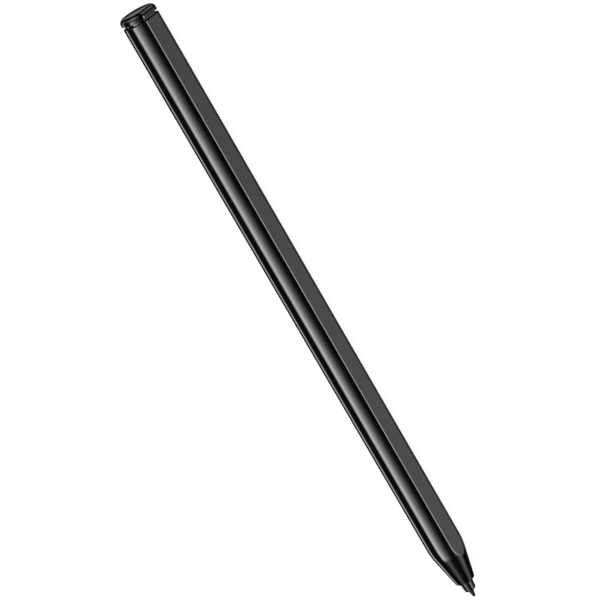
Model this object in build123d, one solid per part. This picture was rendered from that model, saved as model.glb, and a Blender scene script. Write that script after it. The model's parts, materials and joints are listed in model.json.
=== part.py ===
from build123d import *
import os
from math import cos, radians, sin, tan

# Stylus pen with a magnetic flat, a push button at the tail and a pressure-sensing nib.
# The pen lies along X with its nib towards -X, its flat faces -Y and +Z is up.
# All sizes are in millimetres.

# Barrel
BARREL_R = 4.45
BARREL_LENGTH = 154.5
WALL = 0.7
FLAT_DROP = 0.49
FLAT_EDGE_R = 0.75
NOSE_ANGLE = 11.45
NOSE_FACE_R = 2.5
NOSE_EDGE_R = 0.25
NOSE_LAND = 2.8
SHOULDER_R = 19.0
RIM_EDGE_R = 0.1
MOUTH_CHAMFER = 0.45

# Tip: collar, nib and the holder that carries the nib
COLLAR_PROUD = 2.9
COLLAR_BASE_R = 1.7
COLLAR_FRONT_R = 1.41
COLLAR_EDGE_R = 0.5
COLLAR_FLANGE = 1.0
COLLAR_WALL = 0.5
NIB_PROUD = 2.0
NIB_R = 0.69
NIB_TIP_R = 0.38
NIB_TRAVEL = 0.35
SOCKET_DEPTH = 8.0
HOLDER_WALL = 0.42
HOLDER_SHOULDER = 0.7

# Pressure sensing, in the barrel's shoulder
BOSS_LENGTH = 3.0
BOSS_STEP = 0.2
RING_WALL = 0.2
RING_SEAT = 0.8
TIP_SPRING_WIRE = 0.22
TIP_SPRING_TURNS = 5
CHAMBER_INSET = 0.8
CHAMBER_ROOM = 0.6
SENSOR_R = 1.8
SENSOR_THICK = 0.6
PAD_R = 1.1
PAD_PACKED = 0.45
PLATE_LIP = 0.6
PLATE_THICK = 1.0
SPIGOT_LENGTH = 2.0

# Carrier and what lies in its bays
FRONT_WALL = 3.0
BULKHEAD = 3.5
WEB = 0.4
BAY_HALF_WIDTH = 2.75
LEDGE = 0.5
LEDGE_LENGTH = 3.0
BOARD_THICK = 0.8
BOARD_RISE = 1.4
MAIN_BOARD_LENGTH = 50.0
TAIL_BOARD_LENGTH = 25.0
CELL_R = 2.6
CELL_WEB = 0.6
CELL_CRIMP = 0.25
CELL_TERMINAL_R = 1.2
CELL_TERMINAL = 0.5
CELL_BOARD_THICK = 0.8
CELL_PAD_THICK = 1.0

# Magnets and charging coil, under the flat
MAGNET_LENGTH = 10.0
MAGNET_WIDTH = 2.8
MAGNET_THICK = 0.8
MAGNET_MARGIN = 3.0
COIL_LENGTH = 20.0
COIL_WIDTH = 2.8
COIL_WINDING = 0.9
COIL_THICK = 0.4
FERRITE_THICK = 0.35
FERRITE_SHORT = 1.6
POCKET_PITCH = 1.5
COIL_LEAD_R = 0.15

# Board parts: (length along the pen, width across it, height)
CONTROLLER = (4.0, 4.0, 0.85)
CRYSTAL = (1.6, 2.0, 0.5)
CHARGER = (3.0, 3.0, 0.75)
INDUCTOR = (2.5, 2.0, 1.2)
PASSIVE = (1.0, 0.5, 0.45)
RADIO = (3.0, 3.0, 0.8)
ANTENNA = (5.0, 2.0, 1.0)
BATTERY_SOCKET = (1.8, 4.6, 1.2)
RIBBON_SOCKET = (1.6, 2.8, 0.9)
PART_PITCH = 1.5
PASSIVE_PITCH = 1.8
FIRST_PART_X = 9.0
BATTERY_SOCKET_INSET = 10.0
RIBBON_SOCKET_INSET = 6.0

# Strips and leads
STRIP_THICK = 0.12
STRIP_BEND_R = 0.8
RIBBON_WIDTH = 2.0
SENSOR_STRIP_WIDTH = 1.6
SENSOR_STRIP_INSET = 0.4
SENSOR_STRIP_LANDING = 2.0
LEAD_R = 0.3
LEAD_SPREAD = 1.9

# Screws
SCREW_R = 0.5
SCREW_GRIP = 1.05
SCREW_HEAD_R = 0.9
SCREW_HEAD = 0.5
SCREW_CROSS = 1.3
SCREW_RECESS = 0.2
SCREW_INSET = 1.3
SENSOR_SCREW_LENGTH = 1.6

# Tail button, its guide and the switch
CAP_HEIGHT = 1.7
CAP_ROUND = 1.1
CAP_CORNER_R = 1.15
CAP_DOME = 0.15
CAP_EDGE_R = 0.05
BUTTON_TRAVEL = 0.5
NECK_LENGTH = 4.0
NECK_FLOOR = 1.3
STEM_R = 1.2
STEM_GROOVE = 0.3
STEM_REACH = 1.5
GUIDE_LENGTH = 3.5
BUTTON_SPRING_WIRE = 0.32
BUTTON_SPRING_TURNS = 4
CLIP_R = 1.7
CLIP_THICK = 0.4
SWITCH_LENGTH = 2.8
SWITCH_WIDTH = 3.4
SWITCH_STEM_R = 0.6
SWITCH_STEM_PROUD = 1.0
SWITCH_STEM_DEPTH = 0.8

# Clearances
GLUE_GAP = 0.03
PRESS_GAP = 0.02
RUN_GAP = 0.05
NECK_GAP = 0.12
CARRIER_GAP = 0.1
BOARD_GAP = 0.05
POCKET_GAP = 0.05
NIB_PASS_GAP = 0.07
STRIP_GAP = 0.1
SLOT_GAP = 0.3
SPRING_GAP = 0.02
SPRING_ROOM = 0.25
RIM_GAP = 0.2
FREE_GAP = 0.4
PAST = 1.0

# Sections of the barrel and of what fills its bore
FLAT_Y = BARREL_R - FLAT_DROP
BORE_R = BARREL_R - WALL
BORE_FLAT_Y = FLAT_Y - WALL
CARRIER_FLAT_Y = BORE_FLAT_Y - CARRIER_GAP

# Radii of what slides on the pen's axis and of what goes round it
HOLDER_R = NIB_R + HOLDER_WALL
TIP_SPRING_R = HOLDER_R + SPRING_ROOM + TIP_SPRING_WIRE / 2
SHOULDER_DISC_R = TIP_SPRING_R + TIP_SPRING_WIRE / 2 + SPRING_ROOM
RING_BORE_R = SHOULDER_DISC_R + SPRING_ROOM
RING_R = RING_BORE_R + RING_WALL
BOSS_R = RING_R + BOSS_STEP
PLATE_R = SENSOR_R + PLATE_LIP
BUTTON_SPRING_R = STEM_R + SPRING_ROOM + BUTTON_SPRING_WIRE / 2
NECK_POCKET_R = BUTTON_SPRING_R + BUTTON_SPRING_WIRE / 2 + SPRING_ROOM

# Places along the pen, from the nib's tip
BUTTON_GAP = BUTTON_TRAVEL + RIM_GAP
OVERALL = NIB_PROUD + COLLAR_PROUD + BARREL_LENGTH + BUTTON_GAP + CAP_HEIGHT
TIP_X = -OVERALL / 2
COLLAR_FACE_X = TIP_X + NIB_PROUD
NOSE_FACE_X = COLLAR_FACE_X + COLLAR_PROUD
COLLAR_STEP_X = NOSE_FACE_X + COLLAR_WALL
HOLDER_FRONT_X = COLLAR_STEP_X + FREE_GAP
COLLAR_SEAT_X = NOSE_FACE_X + NOSE_LAND
COLLAR_BACK_X = COLLAR_SEAT_X + COLLAR_FLANGE
HOLDER_BACK_X = COLLAR_BACK_X + HOLDER_SHOULDER
SOCKET_END_X = HOLDER_FRONT_X + SOCKET_DEPTH
TAPER = radians(NOSE_ANGLE)
CORNER_X = NOSE_FACE_X + (BARREL_R - NOSE_FACE_R) / tan(TAPER)
TUBE_START_X = CORNER_X + SHOULDER_R * tan(TAPER / 2)
BOSS_X = TUBE_START_X - BOSS_LENGTH
CHAMBER_X = TUBE_START_X + CHAMBER_INSET
ROD_END_X = CHAMBER_X + CHAMBER_ROOM
SENSOR_X = ROD_END_X + PAD_PACKED + NIB_TRAVEL
PLATE_X = SENSOR_X + SENSOR_THICK
SPIGOT_X = PLATE_X + PLATE_THICK
CARRIER_X = SPIGOT_X + SPIGOT_LENGTH
MAIN_BAY_X = CARRIER_X + FRONT_WALL
MAIN_BAY_END_X = MAIN_BAY_X + MAIN_BOARD_LENGTH + 2 * BOARD_GAP
CELL_BAY_X = MAIN_BAY_END_X + BULKHEAD

# Places along the pen, back from the tail
TAIL_END_X = NOSE_FACE_X + BARREL_LENGTH
CAP_RIM_X = TAIL_END_X + BUTTON_GAP
CAP_TOP_X = CAP_RIM_X + CAP_HEIGHT
SPRING_SEAT_X = CAP_RIM_X - NECK_FLOOR
NECK_END_X = CAP_RIM_X - NECK_LENGTH
GUIDE_FACE_X = NECK_END_X - BUTTON_TRAVEL - FREE_GAP
GUIDE_BACK_X = GUIDE_FACE_X - GUIDE_LENGTH
STEM_END_X = GUIDE_BACK_X - STEM_REACH
SWITCH_X = STEM_END_X - SWITCH_STEM_PROUD
TAIL_BAY_X = SWITCH_X - TAIL_BOARD_LENGTH - BOARD_GAP
CELL_BAY_END_X = TAIL_BAY_X - BULKHEAD

# Levels across the pen, from the flat towards the back
MAGNET_FLOOR_Y = -CARRIER_FLAT_Y + MAGNET_THICK + POCKET_GAP
COIL_FLOOR_Y = -CARRIER_FLAT_Y + COIL_THICK + FERRITE_THICK + POCKET_GAP
COIL_BACK_Y = COIL_FLOOR_Y - FERRITE_THICK
BAY_FLOOR_Y = MAGNET_FLOOR_Y + WEB
TAIL_BOARD_Y = BAY_FLOOR_Y + BOARD_THICK
LEDGE_Y = BAY_FLOOR_Y + BOARD_RISE
MAIN_BOARD_Y = LEDGE_Y + BOARD_THICK
CELL_Y = CELL_R + POCKET_GAP + CELL_WEB - CARRIER_FLAT_Y
RIBBON_Y = CELL_Y + CELL_R + STRIP_GAP + STRIP_THICK / 2
LEAD_Y = MAIN_BOARD_Y + BATTERY_SOCKET[2] / 2
SENSOR_STRIP_Y = SENSOR_R - SENSOR_STRIP_INSET

# Row of pockets under the main bay: magnet, coil, magnet
FRONT_MAGNET_X = MAIN_BAY_X + MAGNET_MARGIN
COIL_X = FRONT_MAGNET_X + MAGNET_LENGTH + POCKET_PITCH
SECOND_MAGNET_X = COIL_X + COIL_LENGTH + POCKET_PITCH
REAR_MAGNET_X = TAIL_BAY_X + MAGNET_MARGIN
LAST_MAGNET_X = REAR_MAGNET_X + MAGNET_LENGTH + POCKET_PITCH


def block(x, y, z):
    """Box given by its (low, high) pair on each axis."""
    spans = (x, y, z)
    middle = [(low + high) / 2 for low, high in spans]
    return Pos(*middle) * Box(*[high - low for low, high in spans])


def bar(radius, start_x, end_x):
    """Round bar on the pen's axis."""
    return Pos((start_x + end_x) / 2, 0, 0) * Rot(0, 90, 0) * Cylinder(radius, end_x - start_x)


def turned(*outline):
    """Solid turned about the pen's axis from its (x, radius) points."""
    return revolve(make_face(Polyline(*outline, close=True)), Axis.X)


def with_flat(solid, flat_y):
    """The solid with a flat cut along the side that faces -Y."""
    far = 2 * BARREL_R
    return solid - block((-OVERALL, OVERALL), (-far, -flat_y), (-far, far))


def bore_plug(gap, start_x, end_x):
    """Length of the bore's own section, held off its wall by the gap."""
    return with_flat(bar(BORE_R - gap, start_x, end_x), BORE_FLAT_Y - gap)


def group(pieces):
    """Several separate solids as one piece."""
    return Compound([solid for piece in pieces for solid in piece.solids()])


def coil_spring(radius, wire, turns, start_x, end_x):
    """Coil spring on the pen's axis between two seats."""
    height = end_x - start_x - wire - 2 * SPRING_GAP
    centre = (start_x + wire / 2 + SPRING_GAP, 0, 0)
    path = Helix(height / turns, height, radius, center=centre, direction=(1, 0, 0))
    section = Plane(origin=path @ 0, z_dir=path % 0) * Circle(wire / 2)
    return sweep(section, path, is_frenet=True)


def strip(width, *route):
    """Flat strip that follows a route of (x, y) points with rounded bends."""
    path = FilletPolyline(*route, radius=STRIP_BEND_R)
    start = Plane(origin=path @ 0, x_dir=(0, 0, 1), z_dir=path % 0)
    return sweep(start * Rectangle(width, STRIP_THICK), path)


def screw(length):
    """Screw along Z, its head resting on the plane Z = 0, with a cross recess."""
    head = Pos(0, 0, SCREW_HEAD / 2) * Cylinder(SCREW_HEAD_R, SCREW_HEAD)
    shank = Pos(0, 0, -length / 2) * Cylinder(SCREW_R, length)
    slot = Pos(0, 0, SCREW_HEAD) * Box(SCREW_CROSS, SCREW_RECESS, SCREW_HEAD)
    return head + shank - slot - Rot(0, 0, 90) * slot


def on_board(size, x, board_y, z=0.0):
    """Rectangular part that starts at x and stands on a board's back face."""
    length, width, height = size
    return block((x, x + length), (board_y, board_y + height), (z - width / 2, z + width / 2))


# Barrel


def shoulder(inset):
    """Ends of the arc between taper and tube, on the surface this far inside the outer one."""
    radius = BARREL_R - inset
    corner_x = CORNER_X + inset * tan(TAPER / 2)
    run = (SHOULDER_R - inset) * tan(TAPER / 2)
    return (corner_x - run * cos(TAPER), radius - run * sin(TAPER)), (corner_x + run, radius)


def taper_radius(x, inset):
    """Radius of the taper at x, on the surface this far inside the outer one."""
    arc_x, arc_r = shoulder(inset)[0]
    return arc_r - (arc_x - x) * tan(TAPER)


def barrel_form(inset, start_x, end_x):
    """Outer form of the barrel, or of its bore, from a place on the taper to the tail."""
    on_taper, on_tube = shoulder(inset)
    start = (start_x, taper_radius(start_x, inset))
    end = (end_x, on_tube[1])
    outline = [
        Line((start_x, 0), start),
        Line(start, on_taper),
        TangentArc(on_taper, on_tube, tangent=(cos(TAPER), sin(TAPER))),
        Line(on_tube, end),
        Line(end, (end_x, 0)),
        Line((end_x, 0), (start_x, 0)),
    ]
    return with_flat(revolve(make_face(outline), Axis.X), FLAT_Y - inset)


def soften_flat(solid, radius, end_x):
    """Round the edges of the flat, except the one in the end plane."""
    flat_face = solid.faces().sort_by(Axis.Y)[0]
    edges = [edge for edge in flat_face.edges() if abs(edge.center().X - end_x) > radius / 2]
    return fillet(edges, radius)


def circles_at(solid, x):
    """Curved edges that lie in the plane at x."""
    return solid.edges().filter_by(GeomType.CIRCLE).filter_by_position(Axis.X, x, x)


def make_barrel():
    shell = soften_flat(barrel_form(0, NOSE_FACE_X, TAIL_END_X), FLAT_EDGE_R, TAIL_END_X)
    shell = fillet(circles_at(shell, NOSE_FACE_X), NOSE_EDGE_R)
    shell = fillet(circles_at(shell, TAIL_END_X), RIM_EDGE_R)
    shell -= barrel_form(WALL, COLLAR_SEAT_X, TAIL_END_X)
    mouth = shell.faces().sort_by(Axis.X)[-1].inner_wires()[0]
    shell = chamfer(mouth.edges(), MOUTH_CHAMFER)
    return shell - bar(COLLAR_BASE_R + GLUE_GAP, NOSE_FACE_X - PAST, COLLAR_SEAT_X + PAST)


# Tip


def make_tip_collar():
    flange_r = taper_radius(COLLAR_SEAT_X, WALL) - RUN_GAP
    collar = turned(
        (COLLAR_FACE_X, 0),
        (COLLAR_FACE_X, COLLAR_FRONT_R),
        (NOSE_FACE_X, COLLAR_BASE_R),
        (COLLAR_SEAT_X, COLLAR_BASE_R),
        (COLLAR_SEAT_X, flange_r),
        (COLLAR_BACK_X, flange_r),
        (COLLAR_BACK_X, 0),
    )
    collar = fillet(circles_at(collar, COLLAR_FACE_X), COLLAR_EDGE_R)
    collar -= bar(NIB_R + NIB_PASS_GAP, COLLAR_FACE_X - PAST, COLLAR_BACK_X)
    return collar - bar(HOLDER_R + RUN_GAP, COLLAR_STEP_X, COLLAR_BACK_X + PAST)


def make_nib():
    """Writing point: a rounded cone outside the collar and a plain shank inside."""
    tip_end = (TIP_X + NIB_TIP_R, NIB_TIP_R)
    cone_end = (COLLAR_FACE_X, NIB_R)
    end_x = SOCKET_END_X - RUN_GAP
    outline = [
        TangentArc((TIP_X, 0), tip_end, tangent=(0, 1)),
        Line(tip_end, cone_end),
        Line(cone_end, (end_x, NIB_R)),
        Line((end_x, NIB_R), (end_x, 0)),
        Line((end_x, 0), (TIP_X, 0)),
    ]
    return revolve(make_face(outline), Axis.X)


def make_nib_holder():
    holder = turned(
        (HOLDER_FRONT_X, 0),
        (HOLDER_FRONT_X, HOLDER_R),
        (COLLAR_BACK_X, HOLDER_R),
        (COLLAR_BACK_X, SHOULDER_DISC_R),
        (HOLDER_BACK_X, SHOULDER_DISC_R),
        (HOLDER_BACK_X, HOLDER_R),
        (ROD_END_X, HOLDER_R),
        (ROD_END_X, 0),
    )
    return holder - bar(NIB_R + PRESS_GAP, HOLDER_FRONT_X - PAST, SOCKET_END_X)


def make_tip_spring():
    return coil_spring(TIP_SPRING_R, TIP_SPRING_WIRE, TIP_SPRING_TURNS, HOLDER_BACK_X, BOSS_X)


def make_tilt_ring():
    ring = bar(RING_R, COLLAR_BACK_X + FREE_GAP, BOSS_X + RING_SEAT)
    return ring - bar(RING_BORE_R, COLLAR_BACK_X, BOSS_X + RING_SEAT + PAST)


# Pressure sensing


def sensor_screw_places():
    """Place of each of the two radial screws that join block and carrier."""
    x = (SPIGOT_X + CARRIER_X) / 2
    head_r = BORE_R - CARRIER_GAP - SCREW_HEAD - FREE_GAP
    return [Pos(x, 0, side * head_r) * Rot(0 if side > 0 else 180, 0, 0) for side in (1, -1)]


def screw_holes(length):
    """Cutters for the sensor screws: a seat for the head and a hole for the shank."""
    seat = Pos(0, 0, PAST) * Cylinder(SCREW_HEAD_R + RUN_GAP, 2 * PAST)
    hole = Cylinder(SCREW_R + PRESS_GAP, 2 * (length + RUN_GAP))
    return [place * (seat + hole) for place in sensor_screw_places()]


def make_sensor_block():
    solid = bore_plug(CARRIER_GAP, TUBE_START_X, CARRIER_X)
    solid += bar(BOSS_R, BOSS_X + RING_SEAT, TUBE_START_X)
    solid += bar(RING_BORE_R - GLUE_GAP, BOSS_X, BOSS_X + RING_SEAT)
    solid -= bar(HOLDER_R + RUN_GAP, BOSS_X - PAST, CHAMBER_X)
    solid -= bar(SENSOR_R + RUN_GAP, CHAMBER_X, PLATE_X)
    solid -= bar(PLATE_R + RUN_GAP, PLATE_X, CARRIER_X + PAST)
    for cutter in screw_holes(SENSOR_SCREW_LENGTH):
        solid -= cutter
    return solid


def make_sensor_pad():
    return bar(PAD_R, ROD_END_X, SENSOR_X)


def make_force_sensor():
    return bar(SENSOR_R, SENSOR_X, PLATE_X)


def sensor_strip_slot(start_x, end_x):
    """Room for the sensor's strip, open to the back."""
    half = SENSOR_STRIP_WIDTH / 2 + SLOT_GAP
    return block((start_x, end_x), (SENSOR_STRIP_Y - SLOT_GAP, BARREL_R), (-half, half))


def make_sensor_plate():
    return bar(PLATE_R, PLATE_X, SPIGOT_X) - sensor_strip_slot(PLATE_X - PAST, SPIGOT_X + PAST)


def make_sensor_flex():
    landing_y = MAIN_BOARD_Y + STRIP_THICK / 2
    bend_x = MAIN_BAY_X + SCREW_INSET + SCREW_HEAD_R + STRIP_BEND_R
    landing_x = MAIN_BAY_X + FIRST_PART_X - SENSOR_STRIP_LANDING - PART_PITCH
    return strip(
        SENSOR_STRIP_WIDTH,
        (PLATE_X, SENSOR_STRIP_Y),
        (bend_x, SENSOR_STRIP_Y),
        (landing_x, landing_y),
        (landing_x + SENSOR_STRIP_LANDING, landing_y),
    )


def make_sensor_screws():
    return group(place * screw(SENSOR_SCREW_LENGTH) for place in sensor_screw_places())


# Carrier


def board_screw_places():
    """Head seat of each board screw: both ends of the main board, front end of the tail board."""
    seats = [
        (MAIN_BAY_X + BOARD_GAP + SCREW_INSET, MAIN_BOARD_Y),
        (MAIN_BAY_END_X - BOARD_GAP - SCREW_INSET, MAIN_BOARD_Y),
        (TAIL_BAY_X + BOARD_GAP + SCREW_INSET, TAIL_BOARD_Y),
    ]
    return [Pos(x, y, 0) * Rot(-90, 0, 0) for x, y in seats]


def board_screw_holes():
    """Cutters for the shanks of the board screws."""
    length = BOARD_THICK + SCREW_GRIP + RUN_GAP
    return [place * Cylinder(SCREW_R + PRESS_GAP, 2 * length) for place in board_screw_places()]


def magnet_places():
    """Start of each magnet: two under the main bay, two under the tail bay."""
    return (FRONT_MAGNET_X, SECOND_MAGNET_X), (REAR_MAGNET_X, LAST_MAGNET_X)


def under_flat(start_x, length, width, top_y, gap=0.0):
    """Bar or pocket behind the flat, from the carrier's flat to a level inside it."""
    return block(
        (start_x - gap, start_x + length + gap),
        (-CARRIER_FLAT_Y - (PAST if gap else 0), top_y),
        (-width / 2 - gap, width / 2 + gap),
    )


def coil_lead_places():
    """The (x, z) place of each coil lead, past the end of the ferrite."""
    x = COIL_X + COIL_LENGTH - FERRITE_SHORT / 2
    return [(x, side * COIL_WIDTH / 4) for side in (1, -1)]


def make_carrier():
    frame = bore_plug(CARRIER_GAP, CARRIER_X, GUIDE_BACK_X)
    frame += bar(PLATE_R, SPIGOT_X, CARRIER_X)
    back = BARREL_R
    half = BAY_HALF_WIDTH
    inner = half - LEDGE
    lower_x = (MAIN_BAY_X + LEDGE_LENGTH, MAIN_BAY_END_X - LEDGE_LENGTH)
    frame -= block((MAIN_BAY_X, MAIN_BAY_END_X), (LEDGE_Y, back), (-half, half))
    frame -= block(lower_x, (BAY_FLOOR_Y, LEDGE_Y), (-inner, inner))
    frame -= block((TAIL_BAY_X, GUIDE_BACK_X + PAST), (BAY_FLOOR_Y, back), (-half, half))
    frame -= bar(CLIP_R + FREE_GAP, SWITCH_X, GUIDE_BACK_X + PAST)
    cell_r = CELL_R + POCKET_GAP
    frame -= Pos(0, CELL_Y, 0) * bar(cell_r, CELL_BAY_X, CELL_BAY_END_X)
    frame -= block((CELL_BAY_X, CELL_BAY_END_X), (CELL_Y, back), (-cell_r, cell_r))
    lead_x = (MAIN_BAY_END_X - PAST, CELL_BAY_X + PAST)
    lead_floor = LEAD_Y - LEAD_R - STRIP_GAP
    lead_half = LEAD_SPREAD + LEAD_R + STRIP_GAP
    frame -= block(lead_x, (lead_floor, back), (-lead_half, lead_half))
    ribbon_x = (CELL_BAY_END_X - PAST, TAIL_BAY_X + PAST)
    ribbon_floor = CELL_Y + CELL_R / 2
    ribbon_half = RIBBON_WIDTH / 2 + SLOT_GAP
    frame -= block(ribbon_x, (ribbon_floor, back), (-ribbon_half, ribbon_half))
    frame -= sensor_strip_slot(SPIGOT_X - PAST, MAIN_BAY_X + PAST)
    for start_x in sum(magnet_places(), ()):
        frame -= under_flat(start_x, MAGNET_LENGTH, MAGNET_WIDTH, MAGNET_FLOOR_Y, POCKET_GAP)
    frame -= under_flat(COIL_X, COIL_LENGTH, COIL_WIDTH, COIL_FLOOR_Y, POCKET_GAP)
    for x, z in coil_lead_places():
        hole = Pos(x, 0, z) * Rot(90, 0, 0) * Cylinder(COIL_LEAD_R + RUN_GAP, 2 * CARRIER_FLAT_Y)
        frame -= hole & block((x - PAST, x + PAST), (-CARRIER_FLAT_Y, LEDGE_Y), (z - PAST, z + PAST))
    for cutter in board_screw_holes() + screw_holes(SENSOR_SCREW_LENGTH):
        frame -= cutter
    return frame


# Boards and what stands on them


def make_board(start_x, end_x, low_y):
    half = BAY_HALF_WIDTH - BOARD_GAP
    board = block((start_x, end_x), (low_y, low_y + BOARD_THICK), (-half, half))
    for cutter in board_screw_holes():
        board -= cutter
    return board


def make_main_board():
    return make_board(MAIN_BAY_X + BOARD_GAP, MAIN_BAY_END_X - BOARD_GAP, LEDGE_Y)


def make_tail_board():
    return make_board(TAIL_BAY_X + BOARD_GAP, SWITCH_X, BAY_FLOOR_Y)


def chip_places():
    """Start of each large part along the main board, one after another."""
    places = {}
    x = MAIN_BAY_X + FIRST_PART_X
    for name, size in (
        ("controller_chip", CONTROLLER),
        ("crystal", CRYSTAL),
        ("charger_chip", CHARGER),
        ("power_inductor", INDUCTOR),
        ("board_passives", PASSIVE),
    ):
        places[name] = x
        x += size[0] + PART_PITCH
    return places


def make_chip(name, size):
    return on_board(size, chip_places()[name], MAIN_BOARD_Y)


def make_board_passives():
    """Two rows of small parts that fill the board up to the battery socket."""
    first_x = chip_places()["board_passives"]
    room = battery_socket_x() - PART_PITCH - PASSIVE[0] - first_x
    count = max(1, int(room / PASSIVE_PITCH) + 1)
    return group(
        on_board(PASSIVE, first_x + step * PASSIVE_PITCH, MAIN_BOARD_Y, side * PASSIVE_PITCH / 2)
        for step in range(count)
        for side in (1, -1)
    )


def battery_socket_x():
    """Front end of the battery socket."""
    return MAIN_BAY_END_X - BATTERY_SOCKET_INSET


def make_battery_socket():
    return on_board(BATTERY_SOCKET, battery_socket_x(), MAIN_BOARD_Y)


def ribbon_ends():
    """Faces of the two ribbon sockets that the ribbon plugs into."""
    main_x = MAIN_BAY_END_X - RIBBON_SOCKET_INSET + RIBBON_SOCKET[0]
    tail_x = TAIL_BAY_X + RIBBON_SOCKET_INSET - RIBBON_SOCKET[0]
    return main_x, tail_x


def make_ribbon_sockets():
    main_x, tail_x = ribbon_ends()
    return group(
        [
            on_board(RIBBON_SOCKET, main_x - RIBBON_SOCKET[0], MAIN_BOARD_Y),
            on_board(RIBBON_SOCKET, tail_x, TAIL_BOARD_Y),
        ]
    )


def make_board_screws():
    return group(place * screw(BOARD_THICK + SCREW_GRIP) for place in board_screw_places())


def radio_x():
    """Front end of the radio chip, past the ribbon socket."""
    return ribbon_ends()[1] + RIBBON_SOCKET[0] + PART_PITCH


def make_radio_chip():
    return on_board(RADIO, radio_x(), TAIL_BOARD_Y)


def make_chip_antenna():
    return on_board(ANTENNA, radio_x() + RADIO[0] + PART_PITCH, TAIL_BOARD_Y)


# Magnets and coil


def make_magnets(places):
    return group(under_flat(x, MAGNET_LENGTH, MAGNET_WIDTH, MAGNET_FLOOR_Y) for x in places)


def make_coil_ferrite():
    length = COIL_LENGTH - FERRITE_SHORT
    half = COIL_WIDTH / 2
    return block((COIL_X, COIL_X + length), (COIL_BACK_Y, COIL_FLOOR_Y), (-half, half))


def make_charge_coil():
    """Flat winding with round ends, its face towards the flat."""
    middle_x = COIL_X + COIL_LENGTH / 2
    loop = SlotOverall(COIL_LENGTH, COIL_WIDTH)
    loop -= SlotOverall(COIL_LENGTH - 2 * COIL_WINDING, COIL_WIDTH - 2 * COIL_WINDING)
    front = Plane(origin=(middle_x, COIL_BACK_Y, 0), x_dir=(1, 0, 0), z_dir=(0, -1, 0))
    return extrude(front * loop, COIL_THICK)


def make_coil_leads():
    length = LEDGE_Y - COIL_BACK_Y
    middle_y = (LEDGE_Y + COIL_BACK_Y) / 2
    lead = Rot(90, 0, 0) * Cylinder(COIL_LEAD_R, length)
    return group(Pos(x, middle_y, z) * lead for x, z in coil_lead_places())


# Battery


def make_battery_cell():
    """Round cell with a crimped end and a raised terminal."""
    start_x = CELL_BAY_X + POCKET_GAP + CELL_BOARD_THICK
    end_x = CELL_BAY_END_X - POCKET_GAP - CELL_PAD_THICK
    case_x = start_x + CELL_TERMINAL
    cell = turned(
        (start_x, 0),
        (start_x, CELL_TERMINAL_R),
        (case_x, CELL_TERMINAL_R),
        (case_x, CELL_R),
        (case_x + 2 * CELL_CRIMP, CELL_R),
        (case_x + 3 * CELL_CRIMP, CELL_R - CELL_CRIMP),
        (case_x + 4 * CELL_CRIMP, CELL_R),
        (end_x, CELL_R),
        (end_x, 0),
    )
    return Pos(0, CELL_Y, 0) * cell


def make_battery_board():
    start_x = CELL_BAY_X + POCKET_GAP
    return Pos(0, CELL_Y, 0) * bar(CELL_R, start_x, start_x + CELL_BOARD_THICK)


def make_battery_pad():
    end_x = CELL_BAY_END_X - POCKET_GAP
    return Pos(0, CELL_Y, 0) * bar(CELL_R, end_x - CELL_PAD_THICK, end_x)


def make_battery_leads():
    start_x = battery_socket_x() + BATTERY_SOCKET[0]
    lead = bar(LEAD_R, start_x, CELL_BAY_X + POCKET_GAP)
    return group(Pos(0, LEAD_Y, side * LEAD_SPREAD) * lead for side in (1, -1))


def make_flex_ribbon():
    main_x, tail_x = ribbon_ends()
    main_y = MAIN_BOARD_Y + RIBBON_SOCKET[2] / 2
    tail_y = TAIL_BOARD_Y + RIBBON_SOCKET[2] / 2
    return strip(
        RIBBON_WIDTH,
        (main_x, main_y),
        (main_x + PART_PITCH, main_y),
        (MAIN_BAY_END_X + BULKHEAD / 2, RIBBON_Y),
        (TAIL_BAY_X - BULKHEAD / 2, RIBBON_Y),
        (tail_x - PART_PITCH, tail_y),
        (tail_x, tail_y),
    )


# Tail button and switch


def make_cap():
    """Cap of the tail button: domed, D-shaped and rounded all round its top."""
    dome_edge = (CAP_TOP_X - CAP_DOME, BARREL_R)
    outline = [
        Line((CAP_RIM_X, 0), (CAP_RIM_X, BARREL_R)),
        Line((CAP_RIM_X, BARREL_R), dome_edge),
        TangentArc((CAP_TOP_X, 0), dome_edge, tangent=(0, 1)),
        Line((CAP_TOP_X, 0), (CAP_RIM_X, 0)),
    ]
    cap = with_flat(revolve(make_face(outline), Axis.X), FLAT_Y)
    cap = fillet(cap.faces().sort_by(Axis.Y)[0].edges().filter_by(Axis.X), CAP_CORNER_R)
    cap = fillet(cap.faces().sort_by(Axis.X)[-1].edges(), CAP_ROUND)
    return fillet(cap.faces().sort_by(Axis.X)[0].edges(), CAP_EDGE_R)


def make_tail_button():
    """Cap, neck and stem in one, with a pocket for the spring and a groove for the clip."""
    neck = bore_plug(NECK_GAP, NECK_END_X, CAP_RIM_X)
    neck -= bar(NECK_POCKET_R, NECK_END_X - PAST, SPRING_SEAT_X)
    stem = bar(STEM_R, STEM_END_X, SPRING_SEAT_X)
    groove = bar(STEM_R + PAST, GUIDE_BACK_X - CLIP_THICK, GUIDE_BACK_X)
    groove -= bar(STEM_R - STEM_GROOVE, GUIDE_BACK_X - CLIP_THICK, GUIDE_BACK_X)
    return make_cap() + neck + (stem - groove)


def make_button_clip():
    """Open retaining ring in the stem's groove."""
    ring = bar(CLIP_R, GUIDE_BACK_X - CLIP_THICK, GUIDE_BACK_X)
    ring -= bar(STEM_R - STEM_GROOVE + PRESS_GAP, GUIDE_BACK_X - 2 * CLIP_THICK, GUIDE_BACK_X + PAST)
    mouth = STEM_R - STEM_GROOVE
    span_x = (GUIDE_BACK_X - 2 * CLIP_THICK, GUIDE_BACK_X + PAST)
    return ring - block(span_x, (0, 2 * CLIP_R), (-mouth, mouth))


def make_button_spring():
    return coil_spring(
        BUTTON_SPRING_R, BUTTON_SPRING_WIRE, BUTTON_SPRING_TURNS, GUIDE_FACE_X, SPRING_SEAT_X
    )


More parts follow.
